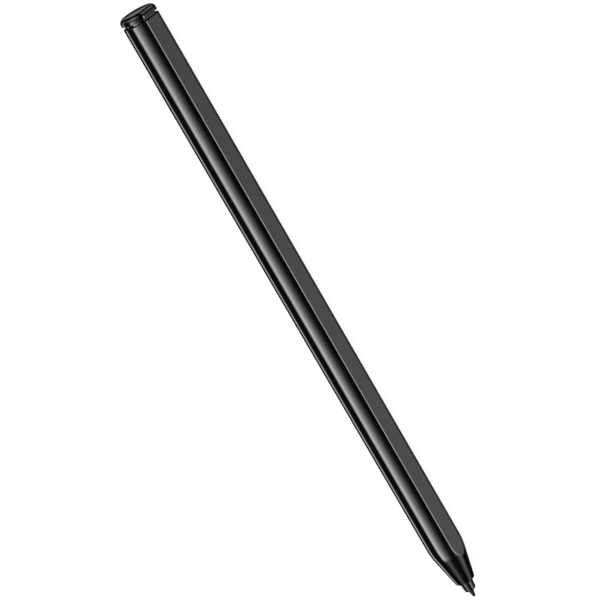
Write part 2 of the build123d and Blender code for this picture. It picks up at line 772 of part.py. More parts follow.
def make_tail_guide():
    guide = bore_plug(PRESS_GAP, GUIDE_BACK_X, GUIDE_FACE_X)
    return guide - bar(STEM_R + RUN_GAP, GUIDE_BACK_X - PAST, GUIDE_FACE_X + PAST)


def make_tail_switch():
    """Side-push switch on the end of the tail board, with a hole for its plunger."""
    half = SWITCH_WIDTH / 2
    case = block((SWITCH_X - SWITCH_LENGTH, SWITCH_X), (TAIL_BOARD_Y, -TAIL_BOARD_Y), (-half, half))
    hole_x = SWITCH_X - SWITCH_STEM_DEPTH - BUTTON_TRAVEL - FREE_GAP
    return case - bar(SWITCH_STEM_R + RUN_GAP, hole_x, SWITCH_X + PAST)


def make_switch_stem():
    return bar(SWITCH_STEM_R, SWITCH_X - SWITCH_STEM_DEPTH, STEM_END_X)


PIECES = {
    "barrel": make_barrel(),
    "tip_collar": make_tip_collar(),
    "nib": make_nib(),
    "nib_holder": make_nib_holder(),
    "tip_spring": make_tip_spring(),
    "tilt_ring": make_tilt_ring(),
    "sensor_block": make_sensor_block(),
    "sensor_pad": make_sensor_pad(),
    "force_sensor": make_force_sensor(),
    "sensor_plate": make_sensor_plate(),
    "sensor_flex": make_sensor_flex(),
    "sensor_screws": make_sensor_screws(),
    "carrier": make_carrier(),
    "main_board": make_main_board(),
    "controller_chip": make_chip("controller_chip", CONTROLLER),
    "crystal": make_chip("crystal", CRYSTAL),
    "charger_chip": make_chip("charger_chip", CHARGER),
    "power_inductor": make_chip("power_inductor", INDUCTOR),
    "board_passives": make_board_passives(),
    "battery_socket": make_battery_socket(),
    "ribbon_sockets": make_ribbon_sockets(),
    "board_screws": make_board_screws(),
    "charge_coil": make_charge_coil(),
    "coil_ferrite": make_coil_ferrite(),
    "coil_leads": make_coil_leads(),
    "front_magnets": make_magnets(magnet_places()[0]),
    "rear_magnets": make_magnets(magnet_places()[1]),
    "battery_cell": make_battery_cell(),
    "battery_board": make_battery_board(),
    "battery_pad": make_battery_pad(),
    "battery_leads": make_battery_leads(),
    "flex_ribbon": make_flex_ribbon(),
    "tail_board": make_tail_board(),
    "radio_chip": make_radio_chip(),
    "chip_antenna": make_chip_antenna(),
    "tail_switch": make_tail_switch(),
    "switch_stem": make_switch_stem(),
    "tail_guide": make_tail_guide(),
    "button_spring": make_button_spring(),
    "tail_button": make_tail_button(),
    "button_clip": make_button_clip(),
}

os.makedirs("parts", exist_ok=True)
for name, piece in PIECES.items():
    export_step(Pos(0, 0, BARREL_R) * piece, f"parts/{name}.step")
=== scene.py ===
import json
import logging
import math
from collections.abc import Sequence
from dataclasses import dataclass
from enum import Enum

import bpy
import numpy as np
from mathutils import Matrix, Vector


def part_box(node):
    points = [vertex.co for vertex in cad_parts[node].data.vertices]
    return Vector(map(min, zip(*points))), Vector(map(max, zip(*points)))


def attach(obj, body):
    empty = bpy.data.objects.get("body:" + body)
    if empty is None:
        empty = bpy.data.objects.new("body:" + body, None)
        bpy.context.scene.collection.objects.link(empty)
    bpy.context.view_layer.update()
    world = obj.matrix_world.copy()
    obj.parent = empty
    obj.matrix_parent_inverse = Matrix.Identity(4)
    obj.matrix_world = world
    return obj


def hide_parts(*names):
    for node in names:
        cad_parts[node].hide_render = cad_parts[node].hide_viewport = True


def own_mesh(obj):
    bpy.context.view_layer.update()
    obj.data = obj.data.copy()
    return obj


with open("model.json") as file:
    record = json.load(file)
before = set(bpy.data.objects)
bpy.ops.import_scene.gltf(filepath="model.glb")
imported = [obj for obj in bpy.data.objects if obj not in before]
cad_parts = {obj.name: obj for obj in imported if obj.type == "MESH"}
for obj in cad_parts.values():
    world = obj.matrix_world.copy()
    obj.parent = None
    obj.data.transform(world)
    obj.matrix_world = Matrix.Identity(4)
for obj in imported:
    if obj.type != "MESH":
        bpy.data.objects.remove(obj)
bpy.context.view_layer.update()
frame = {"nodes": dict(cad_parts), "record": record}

# Looks of a stylus pen with a flat along its barrel. The pen lies along X with its nib towards
# -X, its flat faces -Y and +Z is up. What shows outside, the springs, the soft pad and the coil
# are built here as fine meshes; the other pieces keep their solids' meshes and get a finish.
# Sizes are in metres.

MM = 0.001
MICRON = 1e-6
SMUDGES_PER_METRE = 160.0
WORN_ROUGHNESS = 0.12
NICK_RINGS = 4
RUN_RINGS = 12

log = logging.getLogger("stylus_pen")

Colour = tuple[float, float, float]
Socket = bpy.types.NodeSocket
Value = Socket | float | Sequence[float]


class NodeBench:
    """Adds and joins the nodes of one tree."""

    def __init__(self, tree: bpy.types.NodeTree) -> None:
        """Start on the tree with no nodes in it.

        Args:
            tree: Node tree of a material, a world or a group.
        """
        self.tree = tree
        tree.nodes.clear()

    def feed(self, target: Socket, value: Value) -> None:
        """Give an input its value.

        Args:
            target: Input to feed.
            value: Output to join to it, or a constant to set on it.
        """
        if isinstance(value, Socket):
            self.tree.links.new(value, target)
        else:
            target.default_value = value

    def add(
        self, kind: str, inputs: dict[str | int, Value] | None = None, **settings: object
    ) -> bpy.types.Node:
        """Add a shader node.

        Args:
            kind: Node type without its common first part.
            inputs: Values by the input's name or index.
            **settings: Attributes to set on the node before its inputs are fed.

        Returns:
            The new node.
        """
        node = self.tree.nodes.new(f"ShaderNode{kind}")
        for name, setting in settings.items():
            setattr(node, name, setting)
        for key, value in (inputs or {}).items():
            self.feed(node.inputs[key], value)
        return node

    def calc(self, operation: str, *values: Value) -> Socket:
        """Result of a maths node.

        Args:
            operation: The node's operation.
            *values: Its inputs in order.

        Returns:
            The output socket.
        """
        return self.add("Math", dict(enumerate(values)), operation=operation).outputs[0]

    def remap(
        self,
        value: Value,
        source: tuple[float, float],
        target: tuple[float, float] = (0.0, 1.0),
        smooth: bool = False,
    ) -> Socket:
        """Carry a value from one range to another and hold it there.

        Args:
            value: Value to carry over.
            source: Ends of its own range.
            target: Ends of the new range.
            smooth: Whether the change eases in and out.

        Returns:
            The output socket.
        """
        inputs = {
            "Value": value,
            "From Min": source[0],
            "From Max": source[1],
            "To Min": target[0],
            "To Max": target[1],
        }
        kind = "SMOOTHSTEP" if smooth else "LINEAR"
        return self.add("MapRange", inputs, interpolation_type=kind).outputs["Result"]

    def tint(self, mask: Value, low: Value, high: Value) -> Socket:
        """Mix of two colours.

        Args:
            mask: Share of the second colour.
            low: First colour.
            high: Second colour.

        Returns:
            The output socket.
        """
        pair = [(*c, 1.0) if isinstance(c, tuple) else c for c in (low, high)]
        return self.add("Mix", {0: mask, 6: pair[0], 7: pair[1]}, data_type="RGBA").outputs[2]

    def place(self, stretch: Sequence[float] = (1.0, 1.0, 1.0)) -> Socket:
        """Place on the pen, stretched along its axes.

        Args:
            stretch: Factor on each axis.

        Returns:
            The output socket.
        """
        spot = self.add("TexCoord").outputs["Object"]
        inputs = {0: spot, 1: tuple(stretch)}
        return self.add("VectorMath", inputs, operation="MULTIPLY").outputs[0]


class Effect(Enum):
    """Surface effects that several finishes share."""

    GRAIN = "moulded_grain"
    MARKS = "handling_marks"
    EDGES = "edge_wear"
    TURNING = "turned_lines"


class EffectShelf:
    """Keeps one node group for each shared effect.

    Attributes:
        mottle_scale: Scale of the mottle, as a share of the grain's.
        smudge_stretch: How far smudges are drawn out along the pen.
        hairline_stretch: The same for hairlines.
        hairline_scale: Scale of hairlines, as a multiple of the smudges'.
        ring_stretch: How far the lathe's lines are drawn out round the pen.
        streak_scale: Scale of streaks, as a share of the lathe's lines'.
        breakup_scale: Scale of the noise that breaks up rubbed edges.
    """

    mottle_scale: float = 0.23
    smudge_stretch: tuple[float, float, float] = (0.4, 1.0, 1.0)
    hairline_stretch: tuple[float, float, float] = (0.02, 1.0, 1.0)
    hairline_scale: float = 40.0
    ring_stretch: tuple[float, float, float] = (1.0, 0.02, 0.02)
    streak_scale: float = 0.2
    breakup_scale: float = 2600.0

    def __init__(self) -> None:
        """Make all the groups."""
        self.trees = {
            Effect.GRAIN: self.make_grain(),
            Effect.MARKS: self.make_marks(),
            Effect.EDGES: self.make_edges(),
            Effect.TURNING: self.make_turning(),
        }

    def start(
        self, effect: Effect, inputs: Sequence[str], outputs: Sequence[str]
    ) -> tuple[NodeBench, bpy.types.Node, bpy.types.Node]:
        """Open a new group.

        Args:
            effect: The effect it is for.
            inputs: Names of its inputs.
            outputs: Names of its outputs.

        Returns:
            The bench to build on, the group's input node and its output node.
        """
        tree = bpy.data.node_groups.new(effect.value, "ShaderNodeTree")
        for name in inputs:
            tree.interface.new_socket(name, in_out="INPUT", socket_type="NodeSocketFloat")
        for name in outputs:
            tree.interface.new_socket(name, in_out="OUTPUT", socket_type="NodeSocketFloat")
        bench = NodeBench(tree)
        return bench, tree.nodes.new("NodeGroupInput"), tree.nodes.new("NodeGroupOutput")

    def make_grain(self) -> bpy.types.NodeTree:
        """Fine even grain of a moulded or fired surface, with a slow mottle under it.

        Returns:
            The group: Scale in lumps per metre, Height and Mottle out.
        """
        bench, given, out = self.start(Effect.GRAIN, ["Scale"], ["Height", "Mottle"])
        spot = bench.place()
        fine = {"Vector": spot, "Scale": given.outputs["Scale"], "Detail": 3.0, "Roughness": 0.55}
        bench.feed(out.inputs["Height"], bench.add("TexNoise", fine).outputs["Fac"])
        slow_scale = bench.calc("MULTIPLY", given.outputs["Scale"], self.mottle_scale)
        slow = {"Vector": spot, "Scale": slow_scale, "Detail": 2.0}
        mottle = bench.add("TexNoise", slow).outputs["Fac"]
        bench.feed(out.inputs["Mottle"], bench.remap(mottle, (0.3, 0.7), smooth=True))
        return bench.tree

    def make_marks(self) -> bpy.types.NodeTree:
        """Smudges from fingers and hairlines from wiping, both along the pen.

        Returns:
            The group: Scale in smudges per metre, Smudge and Hairline out.
        """
        bench, given, out = self.start(Effect.MARKS, ["Scale"], ["Smudge", "Hairline"])
        along = {
            "Vector": bench.place(self.smudge_stretch),
            "Scale": given.outputs["Scale"],
            "Detail": 4.0,
            "Distortion": 0.8,
        }
        smudge = bench.add("TexNoise", along).outputs["Fac"]
        bench.feed(out.inputs["Smudge"], bench.remap(smudge, (0.42, 0.68), smooth=True))
        thin = {
            "Vector": bench.place(self.hairline_stretch),
            "Scale": bench.calc("MULTIPLY", given.outputs["Scale"], self.hairline_scale),
            "Detail": 1.0,
        }
        line = bench.add("TexNoise", thin).outputs["Fac"]
        bench.feed(out.inputs["Hairline"], bench.remap(line, (0.66, 0.74)))
        return bench.tree

    def make_edges(self) -> bpy.types.NodeTree:
        """Rubbed places along sharp edges, broken up by a fine noise.

        Returns:
            The group: Reach of the wear from an edge in metres, Wear out.
        """
        bench, given, out = self.start(Effect.EDGES, ["Reach"], ["Wear"])
        soft = bench.add("Bevel", {"Radius": given.outputs["Reach"]}, samples=6).outputs[0]
        hard = bench.add("NewGeometry").outputs["Normal"]
        agree = bench.add("VectorMath", {0: soft, 1: hard}, operation="DOT_PRODUCT").outputs["Value"]
        edge = bench.remap(agree, (0.99, 0.9))
        breakup = {"Vector": bench.place(), "Scale": self.breakup_scale, "Detail": 3.0}
        noise = bench.remap(bench.add("TexNoise", breakup).outputs["Fac"], (0.35, 0.65))
        bench.feed(out.inputs["Wear"], bench.calc("MULTIPLY", edge, noise))
        return bench.tree

    def make_turning(self) -> bpy.types.NodeTree:
        """Fine rings left by a lathe or a drawing die round the pen's axis.

        Returns:
            The group: Scale in rings per metre, Height and Streak out.
        """
        bench, given, out = self.start(Effect.TURNING, ["Scale"], ["Height", "Streak"])
        rings = {
            "Vector": bench.place(self.ring_stretch),
            "Scale": given.outputs["Scale"],
            "Detail": 2.0,
        }
        height = bench.add("TexNoise", rings).outputs["Fac"]
        bench.feed(out.inputs["Height"], height)
        broad_scale = bench.calc("MULTIPLY", given.outputs["Scale"], self.streak_scale)
        streak = bench.add("TexNoise", {**rings, "Scale": broad_scale}).outputs["Fac"]
        bench.feed(out.inputs["Streak"], bench.remap(streak, (0.35, 0.65)))
        return bench.tree

    def use(self, bench: NodeBench, effect: Effect, **inputs: float) -> bpy.types.Node:
        """Put an effect in a material.

        Args:
            bench: Bench of the material.
            effect: The effect to use.
            **inputs: Values of its inputs.

        Returns:
            The group's node.
        """
        node = bench.add("Group")
        node.node_tree = self.trees[effect]
        for name, value in inputs.items():
            node.inputs[name].default_value = value
        return node


class Pattern(Enum):
    """What a finish shows close up."""

    MOULDED = "fine grain"
    TURNED = "rings round the pen"
    FOAM = "open cells"
    TRACES = "tracks under a mask"
    FILM = "tracks along a strip"


@dataclass(frozen=True)
class Finish:
    """How one material slot looks.

    Attributes:
        slot: The record's name for it.
        dark: One end of its colour.
        light: The other end.
        rough: Roughness where it is smoothest and where it is roughest.
        pattern: What it shows close up.
        scale: Features of the pattern per metre.
        relief: Height of the pattern.
        metal: 1 for bare metal, else 0.
        smudge: Roughness that handling adds.
        worn: Colour of rubbed edges.
        reach: How far the rubbing goes from an edge.
        ior: Refractive index.
    """

    slot: str
    dark: Colour
    light: Colour
    rough: tuple[float, float]
    pattern: Pattern = Pattern.MOULDED
    scale: float = 4000.0
    relief: float = 2 * MICRON
    metal: float = 0.0
    smudge: float = 0.04
    worn: Colour = (0.1, 0.1, 0.1)
    reach: float = 0.05 * MM
    ior: float = 1.5

    def close_up(self, bench: NodeBench, shelf: EffectShelf) -> tuple[Socket, Socket]:
        """Pattern of the finish.

        Args:
            bench: Bench of the material.
            shelf: Shared effects.

        Returns:
            Its height and the mask between its two colours.
        """
        if self.pattern is Pattern.MOULDED:
            grain = shelf.use(bench, Effect.GRAIN, Scale=self.scale)
            return grain.outputs["Height"], grain.outputs["Mottle"]
        if self.pattern is Pattern.TURNED:
            rings = shelf.use(bench, Effect.TURNING, Scale=self.scale)
            return rings.outputs["Height"], rings.outputs["Streak"]
        spot = {"Vector": bench.place(), "Scale": self.scale}
        if self.pattern is Pattern.FOAM:
            cells = bench.add("TexVoronoi", spot).outputs["Distance"]
            return cells, bench.remap(cells, (0.1, 0.6))
        if self.pattern is Pattern.TRACES:
            tracks = {"distance": "CHEBYCHEV", "feature": "DISTANCE_TO_EDGE"}
            mask = bench.remap(bench.add("TexVoronoi", spot, **tracks).outputs[0], (0.16, 0.1))
        else:
            wave = bench.add("TexWave", spot, bands_direction="Z").outputs["Fac"]
            mask = bench.remap(wave, (0.4, 0.6))
        return mask, mask

    def material(self, shelf: EffectShelf) -> bpy.types.Material:
        """Make the finish's material.

        Args:
            shelf: Shared effects.

        Returns:
            The new material.
        """
        made = bpy.data.materials.new(self.slot)
        made.use_nodes = True
        bench = NodeBench(made.node_tree)
        height, mask = self.close_up(bench, shelf)
        marks = shelf.use(bench, Effect.MARKS, Scale=SMUDGES_PER_METRE)
        wear = shelf.use(bench, Effect.EDGES, Reach=self.reach).outputs["Wear"]
        colour = bench.tint(wear, bench.tint(mask, self.dark, self.light), self.worn)
        touched = bench.calc("MAXIMUM", marks.outputs["Smudge"], marks.outputs["Hairline"])
        rough = bench.remap(mask, (0.0, 1.0), self.rough)
        rough = bench.calc("MULTIPLY_ADD", touched, self.smudge, rough)
        rough = bench.calc("MULTIPLY_ADD", wear, WORN_ROUGHNESS, rough)
        bump = bench.add("Bump", {"Height": height, "Distance": self.relief}).outputs[0]
        inputs = {
            "Base Color": colour,
            "Metallic": self.metal,
            "Roughness": rough,
            "IOR": self.ior,
            "Normal": bump,
        }
        shader = bench.add("BsdfPrincipled", inputs)
        bench.add("OutputMaterial", {"Surface": shader.outputs[0]})
        return made


FINISHES = (
    Finish("barrel_black", (0.0018, 0.0018, 0.002), (0.0028, 0.0028, 0.0031), (0.045, 0.06),
           scale=700.0, relief=0.5 * MICRON, smudge=0.03, worn=(0.012, 0.012, 0.013)),
    Finish("collar_black", (0.001, 0.001, 0.0011), (0.003, 0.003, 0.0033), (0.05, 0.065),
           scale=5000.0, relief=0.5 * MICRON, worn=(0.02, 0.02, 0.021), ior=1.3),
    Finish("nib_grey", (0.002, 0.002, 0.0022), (0.012, 0.012, 0.013), (0.45, 0.7),
           scale=9000.0, relief=16 * MICRON, worn=(0.03, 0.03, 0.03), ior=1.22),
    Finish("brass", (0.6, 0.43, 0.18), (0.8, 0.62, 0.32), (0.18, 0.32), Pattern.TURNED,
           scale=9000.0, relief=3 * MICRON, metal=1.0, worn=(0.9, 0.76, 0.45)),
    Finish("spring_steel", (0.42, 0.42, 0.43), (0.62, 0.62, 0.63), (0.2, 0.34),
           scale=12000.0, relief=2 * MICRON, metal=1.0, worn=(0.75, 0.75, 0.75)),
    Finish("screw_steel", (0.36, 0.36, 0.38), (0.52, 0.52, 0.54), (0.22, 0.38),
           scale=9000.0, relief=2 * MICRON, metal=1.0, worn=(0.72, 0.72, 0.72)),
    Finish("carrier_grey", (0.16, 0.17, 0.19), (0.23, 0.24, 0.26), (0.45, 0.6),
           scale=3500.0, relief=5 * MICRON, worn=(0.36, 0.37, 0.39)),
    Finish("pad_silicone", (0.27, 0.07, 0.055), (0.4, 0.12, 0.1), (0.55, 0.72),
           scale=6000.0, relief=6 * MICRON, worn=(0.5, 0.2, 0.17)),
    Finish("foam", (0.02, 0.02, 0.02), (0.09, 0.09, 0.09), (0.8, 0.95), Pattern.FOAM,
           scale=5000.0, relief=60 * MICRON, worn=(0.12, 0.12, 0.12)),
    Finish("sensor_ceramic", (0.7, 0.68, 0.62), (0.84, 0.82, 0.76), (0.4, 0.55),
           scale=8000.0, relief=3 * MICRON, worn=(0.9, 0.89, 0.85)),
    Finish("plate_steel", (0.5, 0.5, 0.5), (0.66, 0.66, 0.66), (0.25, 0.4), Pattern.TURNED,
           scale=8000.0, relief=2 * MICRON, metal=1.0, worn=(0.8, 0.8, 0.8)),
    Finish("strip_amber", (0.42, 0.2, 0.03), (0.62, 0.33, 0.1), (0.25, 0.36), Pattern.FILM,
           scale=1200.0, relief=8 * MICRON, worn=(0.7, 0.42, 0.15)),
    Finish("board_green", (0.012, 0.11, 0.05), (0.03, 0.2, 0.1), (0.3, 0.42), Pattern.TRACES,
           scale=900.0, relief=20 * MICRON, worn=(0.5, 0.45, 0.3)),
    Finish("chip_black", (0.02, 0.02, 0.022), (0.038, 0.038, 0.04), (0.5, 0.65),
           scale=9000.0, relief=4 * MICRON, worn=(0.09, 0.09, 0.09)),
    Finish("crystal_can", (0.58, 0.58, 0.58), (0.72, 0.72, 0.72), (0.2, 0.3),
           scale=7000.0, relief=1 * MICRON, metal=1.0, worn=(0.82, 0.82, 0.82)),
    Finish("ceramic_tan", (0.44, 0.33, 0.22), (0.58, 0.46, 0.33), (0.4, 0.55),
           scale=9000.0, relief=3 * MICRON, worn=(0.7, 0.6, 0.48)),
    Finish("ceramic_white", (0.76, 0.76, 0.72), (0.86, 0.86, 0.82), (0.35, 0.5),
           scale=8000.0, relief=2 * MICRON, worn=(0.92, 0.92, 0.9)),
    Finish("socket_ivory", (0.76, 0.73, 0.62), (0.86, 0.83, 0.72), (0.4, 0.52),
           scale=6000.0, relief=3 * MICRON, worn=(0.92, 0.9, 0.82)),
    Finish("copper", (0.62, 0.3, 0.14), (0.8, 0.44, 0.25), (0.2, 0.3),
           scale=9000.0, relief=1 * MICRON, metal=1.0, worn=(0.88, 0.55, 0.35)),
    Finish("ferrite", (0.05, 0.05, 0.054), (0.09, 0.09, 0.095), (0.55, 0.72),
           scale=7000.0, relief=8 * MICRON, worn=(0.16, 0.16, 0.165)),
    Finish("magnet_nickel", (0.64, 0.63, 0.6), (0.76, 0.75, 0.72), (0.1, 0.2),
           scale=5000.0, relief=1 * MICRON, metal=1.0, worn=(0.84, 0.83, 0.8)),
    Finish("cell_can", (0.54, 0.55, 0.57), (0.68, 0.69, 0.71), (0.28, 0.4), Pattern.TURNED,
           scale=5000.0, relief=2 * MICRON, metal=1.0, worn=(0.8, 0.8, 0.82)),
    Finish("lead_rubber", (0.28, 0.014, 0.014), (0.42, 0.03, 0.03), (0.5, 0.62),
           scale=6000.0, relief=3 * MICRON, worn=(0.5, 0.08, 0.08)),
    Finish("switch_case", (0.035, 0.035, 0.035), (0.06, 0.06, 0.06), (0.45, 0.6),
           scale=7000.0, relief=3 * MICRON, worn=(0.12, 0.12, 0.12)),
    Finish("switch_plunger", (0.68, 0.66, 0.59), (0.8, 0.78, 0.71), (0.4, 0.52),
           scale=7000.0, relief=2 * MICRON, worn=(0.88, 0.87, 0.82)),
)


@dataclass(frozen=True)
class Ring:
    """One cross-section of a turned piece.

    Attributes:
        x: Place along the pen.
        radius: Radius of its round part.
        lean: Angle of the surface's normal from straight out, towards the tail, in radians.
        flat: Distance of its flat from the pen's axis.
        flat_lean: The same angle for the flat.
        edge: Radius of the edge between round part and flat.
    """

    x: float
    radius: float
    lean: float = 0.0
    flat: float = math.inf
    flat_lean: float = 0.0
    edge: float = 0.0


class End(Enum):
    """Ends of a piece along the pen."""

    NIB = -1
    TAIL = 1


def pole(x: float, end: End) -> Ring:
    """Ring that closes an end of a piece on the axis."""
    return Ring(x, 0.0, end.value * math.pi / 2)


def corner(
    x: float,
    radius: float,
    size: float,
    leans: tuple[float, float],
    flat: float = math.inf,
    edge: float = 0.0,
    steps: int = 7,
) -> list[Ring]:
    """Rings round a corner.

    Args:
        x: Place of the rounding's centre along the pen.
        radius: Distance of that centre from the pen's axis.
        size: Radius of the rounding; below zero for an inner corner.
        leans: First and last angle of the normal, in degrees.
        flat: Distance of the centre from the axis on the flat's side.
        edge: Radius of the edge between round part and flat, on the centre's own outline.
        steps: Number of rings.

    Returns:
        The rings in order.
    """
    rings = []
    for lean in np.radians(np.linspace(*leans, steps)):
        out = size * math.cos(lean)
        place = x + size * math.sin(lean)
        rings.append(Ring(place, radius + out, lean, flat + out, lean, edge + out))
    return rings


def small_corner(
    x: float,
    radius: float,
    size: float,
    leans: tuple[float, float],
    flat: float = math.inf,
    edge: float = 0.0,
) -> list[Ring]:
    """Few rings round a small corner, from the same values as corner."""
    return corner(x, radius, size, leans, flat, edge, NICK_RINGS)


def straight(start: Ring, end: Ring, steps: int) -> list[Ring]:
    """Rings on a straight run between two given ones, which are left out.

    Args:
        start: Ring before the run.
        end: Ring after it, whose flat and normal the run has.
        steps: Number of rings.

    Returns:
        The rings in order.
    """
    shares = np.linspace(0.0, 1.0, steps + 2)[1:-1]
    return [
        Ring(
            start.x + share * (end.x - start.x),
            start.radius + share * (end.radius - start.radius),
            end.lean,
            end.flat,
            end.flat_lean,
            end.edge,
        )
        for share in shares
    ]


class Surface:
    """Points, normals and faces of one closed mesh."""

    def __init__(self) -> None:
        """Start with nothing."""
        self.points: list[np.ndarray] = []
        self.normals: list[np.ndarray] = []
        self.faces: list[tuple[int, ...]] = []

    def row(self, points: np.ndarray, normals: np.ndarray) -> list[int]:
        """Add a row of points.

        Args:
            points: Their places, one per line.
            normals: Their normals.

        Returns:
            Their indices.
        """
        first = len(self.points)
        self.points.extend(points)
        self.normals.extend(normals)
        return list(range(first, len(self.points)))

    def strip(self, low: Sequence[int], high: Sequence[int]) -> None:
        """Close the band between two rows that go all the way round.

        Args:
            low: Indices of the first row.
            high: Indices of the second row; either may repeat one point.
        """
        count = len(low)
        for here in range(count):
            there = (here + 1) % count
            face = dict.fromkeys((low[here], high[here], high[there], low[there]))
            self.faces.append(tuple(face))

    def mesh(self, name: str) -> bpy.types.Mesh:
        """Make the mesh with the normals its points were given.

        Args:
            name: Name of the mesh.

        Returns:
            The new mesh.
        """
        made = bpy.data.meshes.new(name)
        made.from_pydata([tuple(point) for point in self.points], [], self.faces)
        made.polygons.foreach_set("use_smooth", [True] * len(self.faces))
        made.update()
        made.normals_split_custom_set_from_vertices([tuple(normal) for normal in self.normals])
        return made


@dataclass(frozen=True)
class Lathe:
    """Turns rings into a surface round the pen's axis.

    Attributes:
        axis_z: Height of the pen's axis.
        flat_angle: Angle from the middle of a flat to its edge, in degrees; 0 for round pieces.
        margin: How far the close lines at that edge go to each side, in degrees.
        round_lines: Number of lines round a round piece.
        flat_lines: Number of lines on half of a flat.
        edge_lines: Number of close lines at its edge.
        back_lines: Number of lines from there to the middle of the back.
        facing: Least cosine of a line's angle at which it can meet the flat.
        far: Reach of a line that doesn't meet a flat, well past every ring.
        least_blend: Width of an edge that isn't rounded.
    """

    axis_z: float
    flat_angle: float = 0.0
    margin: float = 4.5
    round_lines: int = 96
    flat_lines: int = 22
    edge_lines: int = 20
    back_lines: int = 90
    facing: float = 0.1
    far: float = 1.0
    least_blend: float = 0.1 * MICRON

    def lines(self) -> np.ndarray:
        """Angles of the lines round the pen, from the middle of the flat.

        Returns:
            The angles in radians, closest together at the flat's edges.
        """
        if not self.flat_angle:
            return np.linspace(0.0, 2 * math.pi, self.round_lines, endpoint=False)
        low, high = self.flat_angle - self.margin, self.flat_angle + self.margin
        half = np.concatenate(
            [
                np.linspace(0.0, low, self.flat_lines, endpoint=False),
                np.linspace(low, high, self.edge_lines, endpoint=False),
                np.linspace(high, 180.0, self.back_lines, endpoint=False),
            ]
        )
        return np.radians(np.concatenate([half, [180.0], -half[:0:-1]]))

    def section(self, ring: Ring, lines: np.ndarray) -> tuple[np.ndarray, np.ndarray]:
        """Points of one ring and the normals there.

        Args:
            ring: The ring.
            lines: Angles of the lines.

        Returns:
            Points and normals, one per line.
        """
        tail = np.array([1.0, 0.0, 0.0])
        out = np.stack([np.zeros_like(lines), -np.cos(lines), np.sin(lines)], axis=1)
        round_normal = math.cos(ring.lean) * out + math.sin(ring.lean) * tail
        flat_normal = math.cos(ring.flat_lean) * out[0] + math.sin(ring.flat_lean) * tail
        reach = np.full_like(lines, self.far)
        facing = np.cos(lines) > self.facing
        if math.isfinite(ring.flat):
            reach[facing] = ring.flat / np.cos(lines[facing])
        agree = math.cos(ring.lean - ring.flat_lean) * np.cos(lines)
        blend = ring.edge * (1.0 - agree) + self.least_blend
        room = reach - ring.radius
        share = np.clip(1.0 - np.abs(room) / blend, 0.0, 1.0)
        distance = np.minimum(reach, ring.radius) - blend / 4 * share**2
        weight = np.where(room > 0, share / 2, 1.0 - share / 2)[:, None]
        normals = (1.0 - weight) * round_normal + weight * flat_normal
        normals /= np.linalg.norm(normals, axis=1, keepdims=True)
        centre = np.array([ring.x, 0.0, self.axis_z])
        return centre + distance[:, None] * out, normals

    def turn(self, rings: Sequence[Ring], hollow: bool) -> Surface:
        """Surface through the rings.

        Args:
            rings: Rings in order, the outside going from nib to tail.
            hollow: Whether the last ring joins the first, round a hole through the piece; else both
                have no radius and close the ends.

        Returns:
            The closed surface.
        """
        lines = self.lines()
        surface = Surface()
        rows = []
        for ring in rings:
            points, normals = self.section(ring, lines)
            if ring.radius == 0.0:
                rows.append(surface.row(points[:1], normals[:1]) * len(lines))
            else:
                rows.append(surface.row(points, normals))
        for low, high in zip(rows, rows[1:] + rows[:1] if hollow else rows[1:]):
            surface.strip(low, high)
        return surface


@dataclass(frozen=True)
class Wire:
    """Round wire along a path.

    Attributes:
        radius: Radius of the wire.
        sides: Number of lines round it.
        first_side: Direction that none of the wires starts along.
        tip_lifts: Angles of the rows on its rounded ends, in degrees.
    """

    radius: float
    sides: int = 12
    first_side: tuple[float, float, float] = (0.3, 0.5, 0.8)
    tip_lifts: tuple[float, float] = (30.0, 60.0)

    def sweep(self, path: np.ndarray) -> Surface:
        """Surface of the wire, with a rounded end at each end of its path.

        Args:
            path: Points of its middle line, one per line.

        Returns:
            The closed surface.
        """
        along = np.gradient(path, axis=0)
        along /= np.linalg.norm(along, axis=1, keepdims=True)
        turn = np.linspace(0.0, 2 * math.pi, self.sides, endpoint=False)
        side = np.cross(along[0], self.first_side)
        surface = Surface()
        rows = []
        for place, (point, heading) in enumerate(zip(path, along)):
            side = side - heading * (side @ heading)
            side /= np.linalg.norm(side)
            up = np.cross(heading, side)
            normals = np.outer(np.cos(turn), side) + np.outer(np.sin(turn), up)
            if place == 0:
                rows += self.tip(surface, point, -heading, normals)[::-1]
            rows.append(surface.row(point + self.radius * normals, normals))
            if place == len(path) - 1:
                rows += self.tip(surface, point, heading, normals)
        for low, high in zip(rows, rows[1:]):
            surface.strip(high, low)
        return surface

    def tip(
        self, surface: Surface, point: np.ndarray, heading: np.ndarray, normals: np.ndarray
    ) -> list[list[int]]:
        """Rows of a rounded end.

        Args:
            surface: Surface to add them to.
            point: End of the middle line.
            heading: Direction out of the wire there.
            normals: Normals round the wire.

        Returns:
            Indices of the rows, from the wire outwards.
        """
        rows = []
        for lift in np.radians(self.tip_lifts):
            turned = math.cos(lift) * normals + math.sin(lift) * heading
            rows.append(surface.row(point + self.radius * turned, turned))
        end = surface.row((point + self.radius * heading)[None], heading[None])
        return [*rows, end * len(normals)]


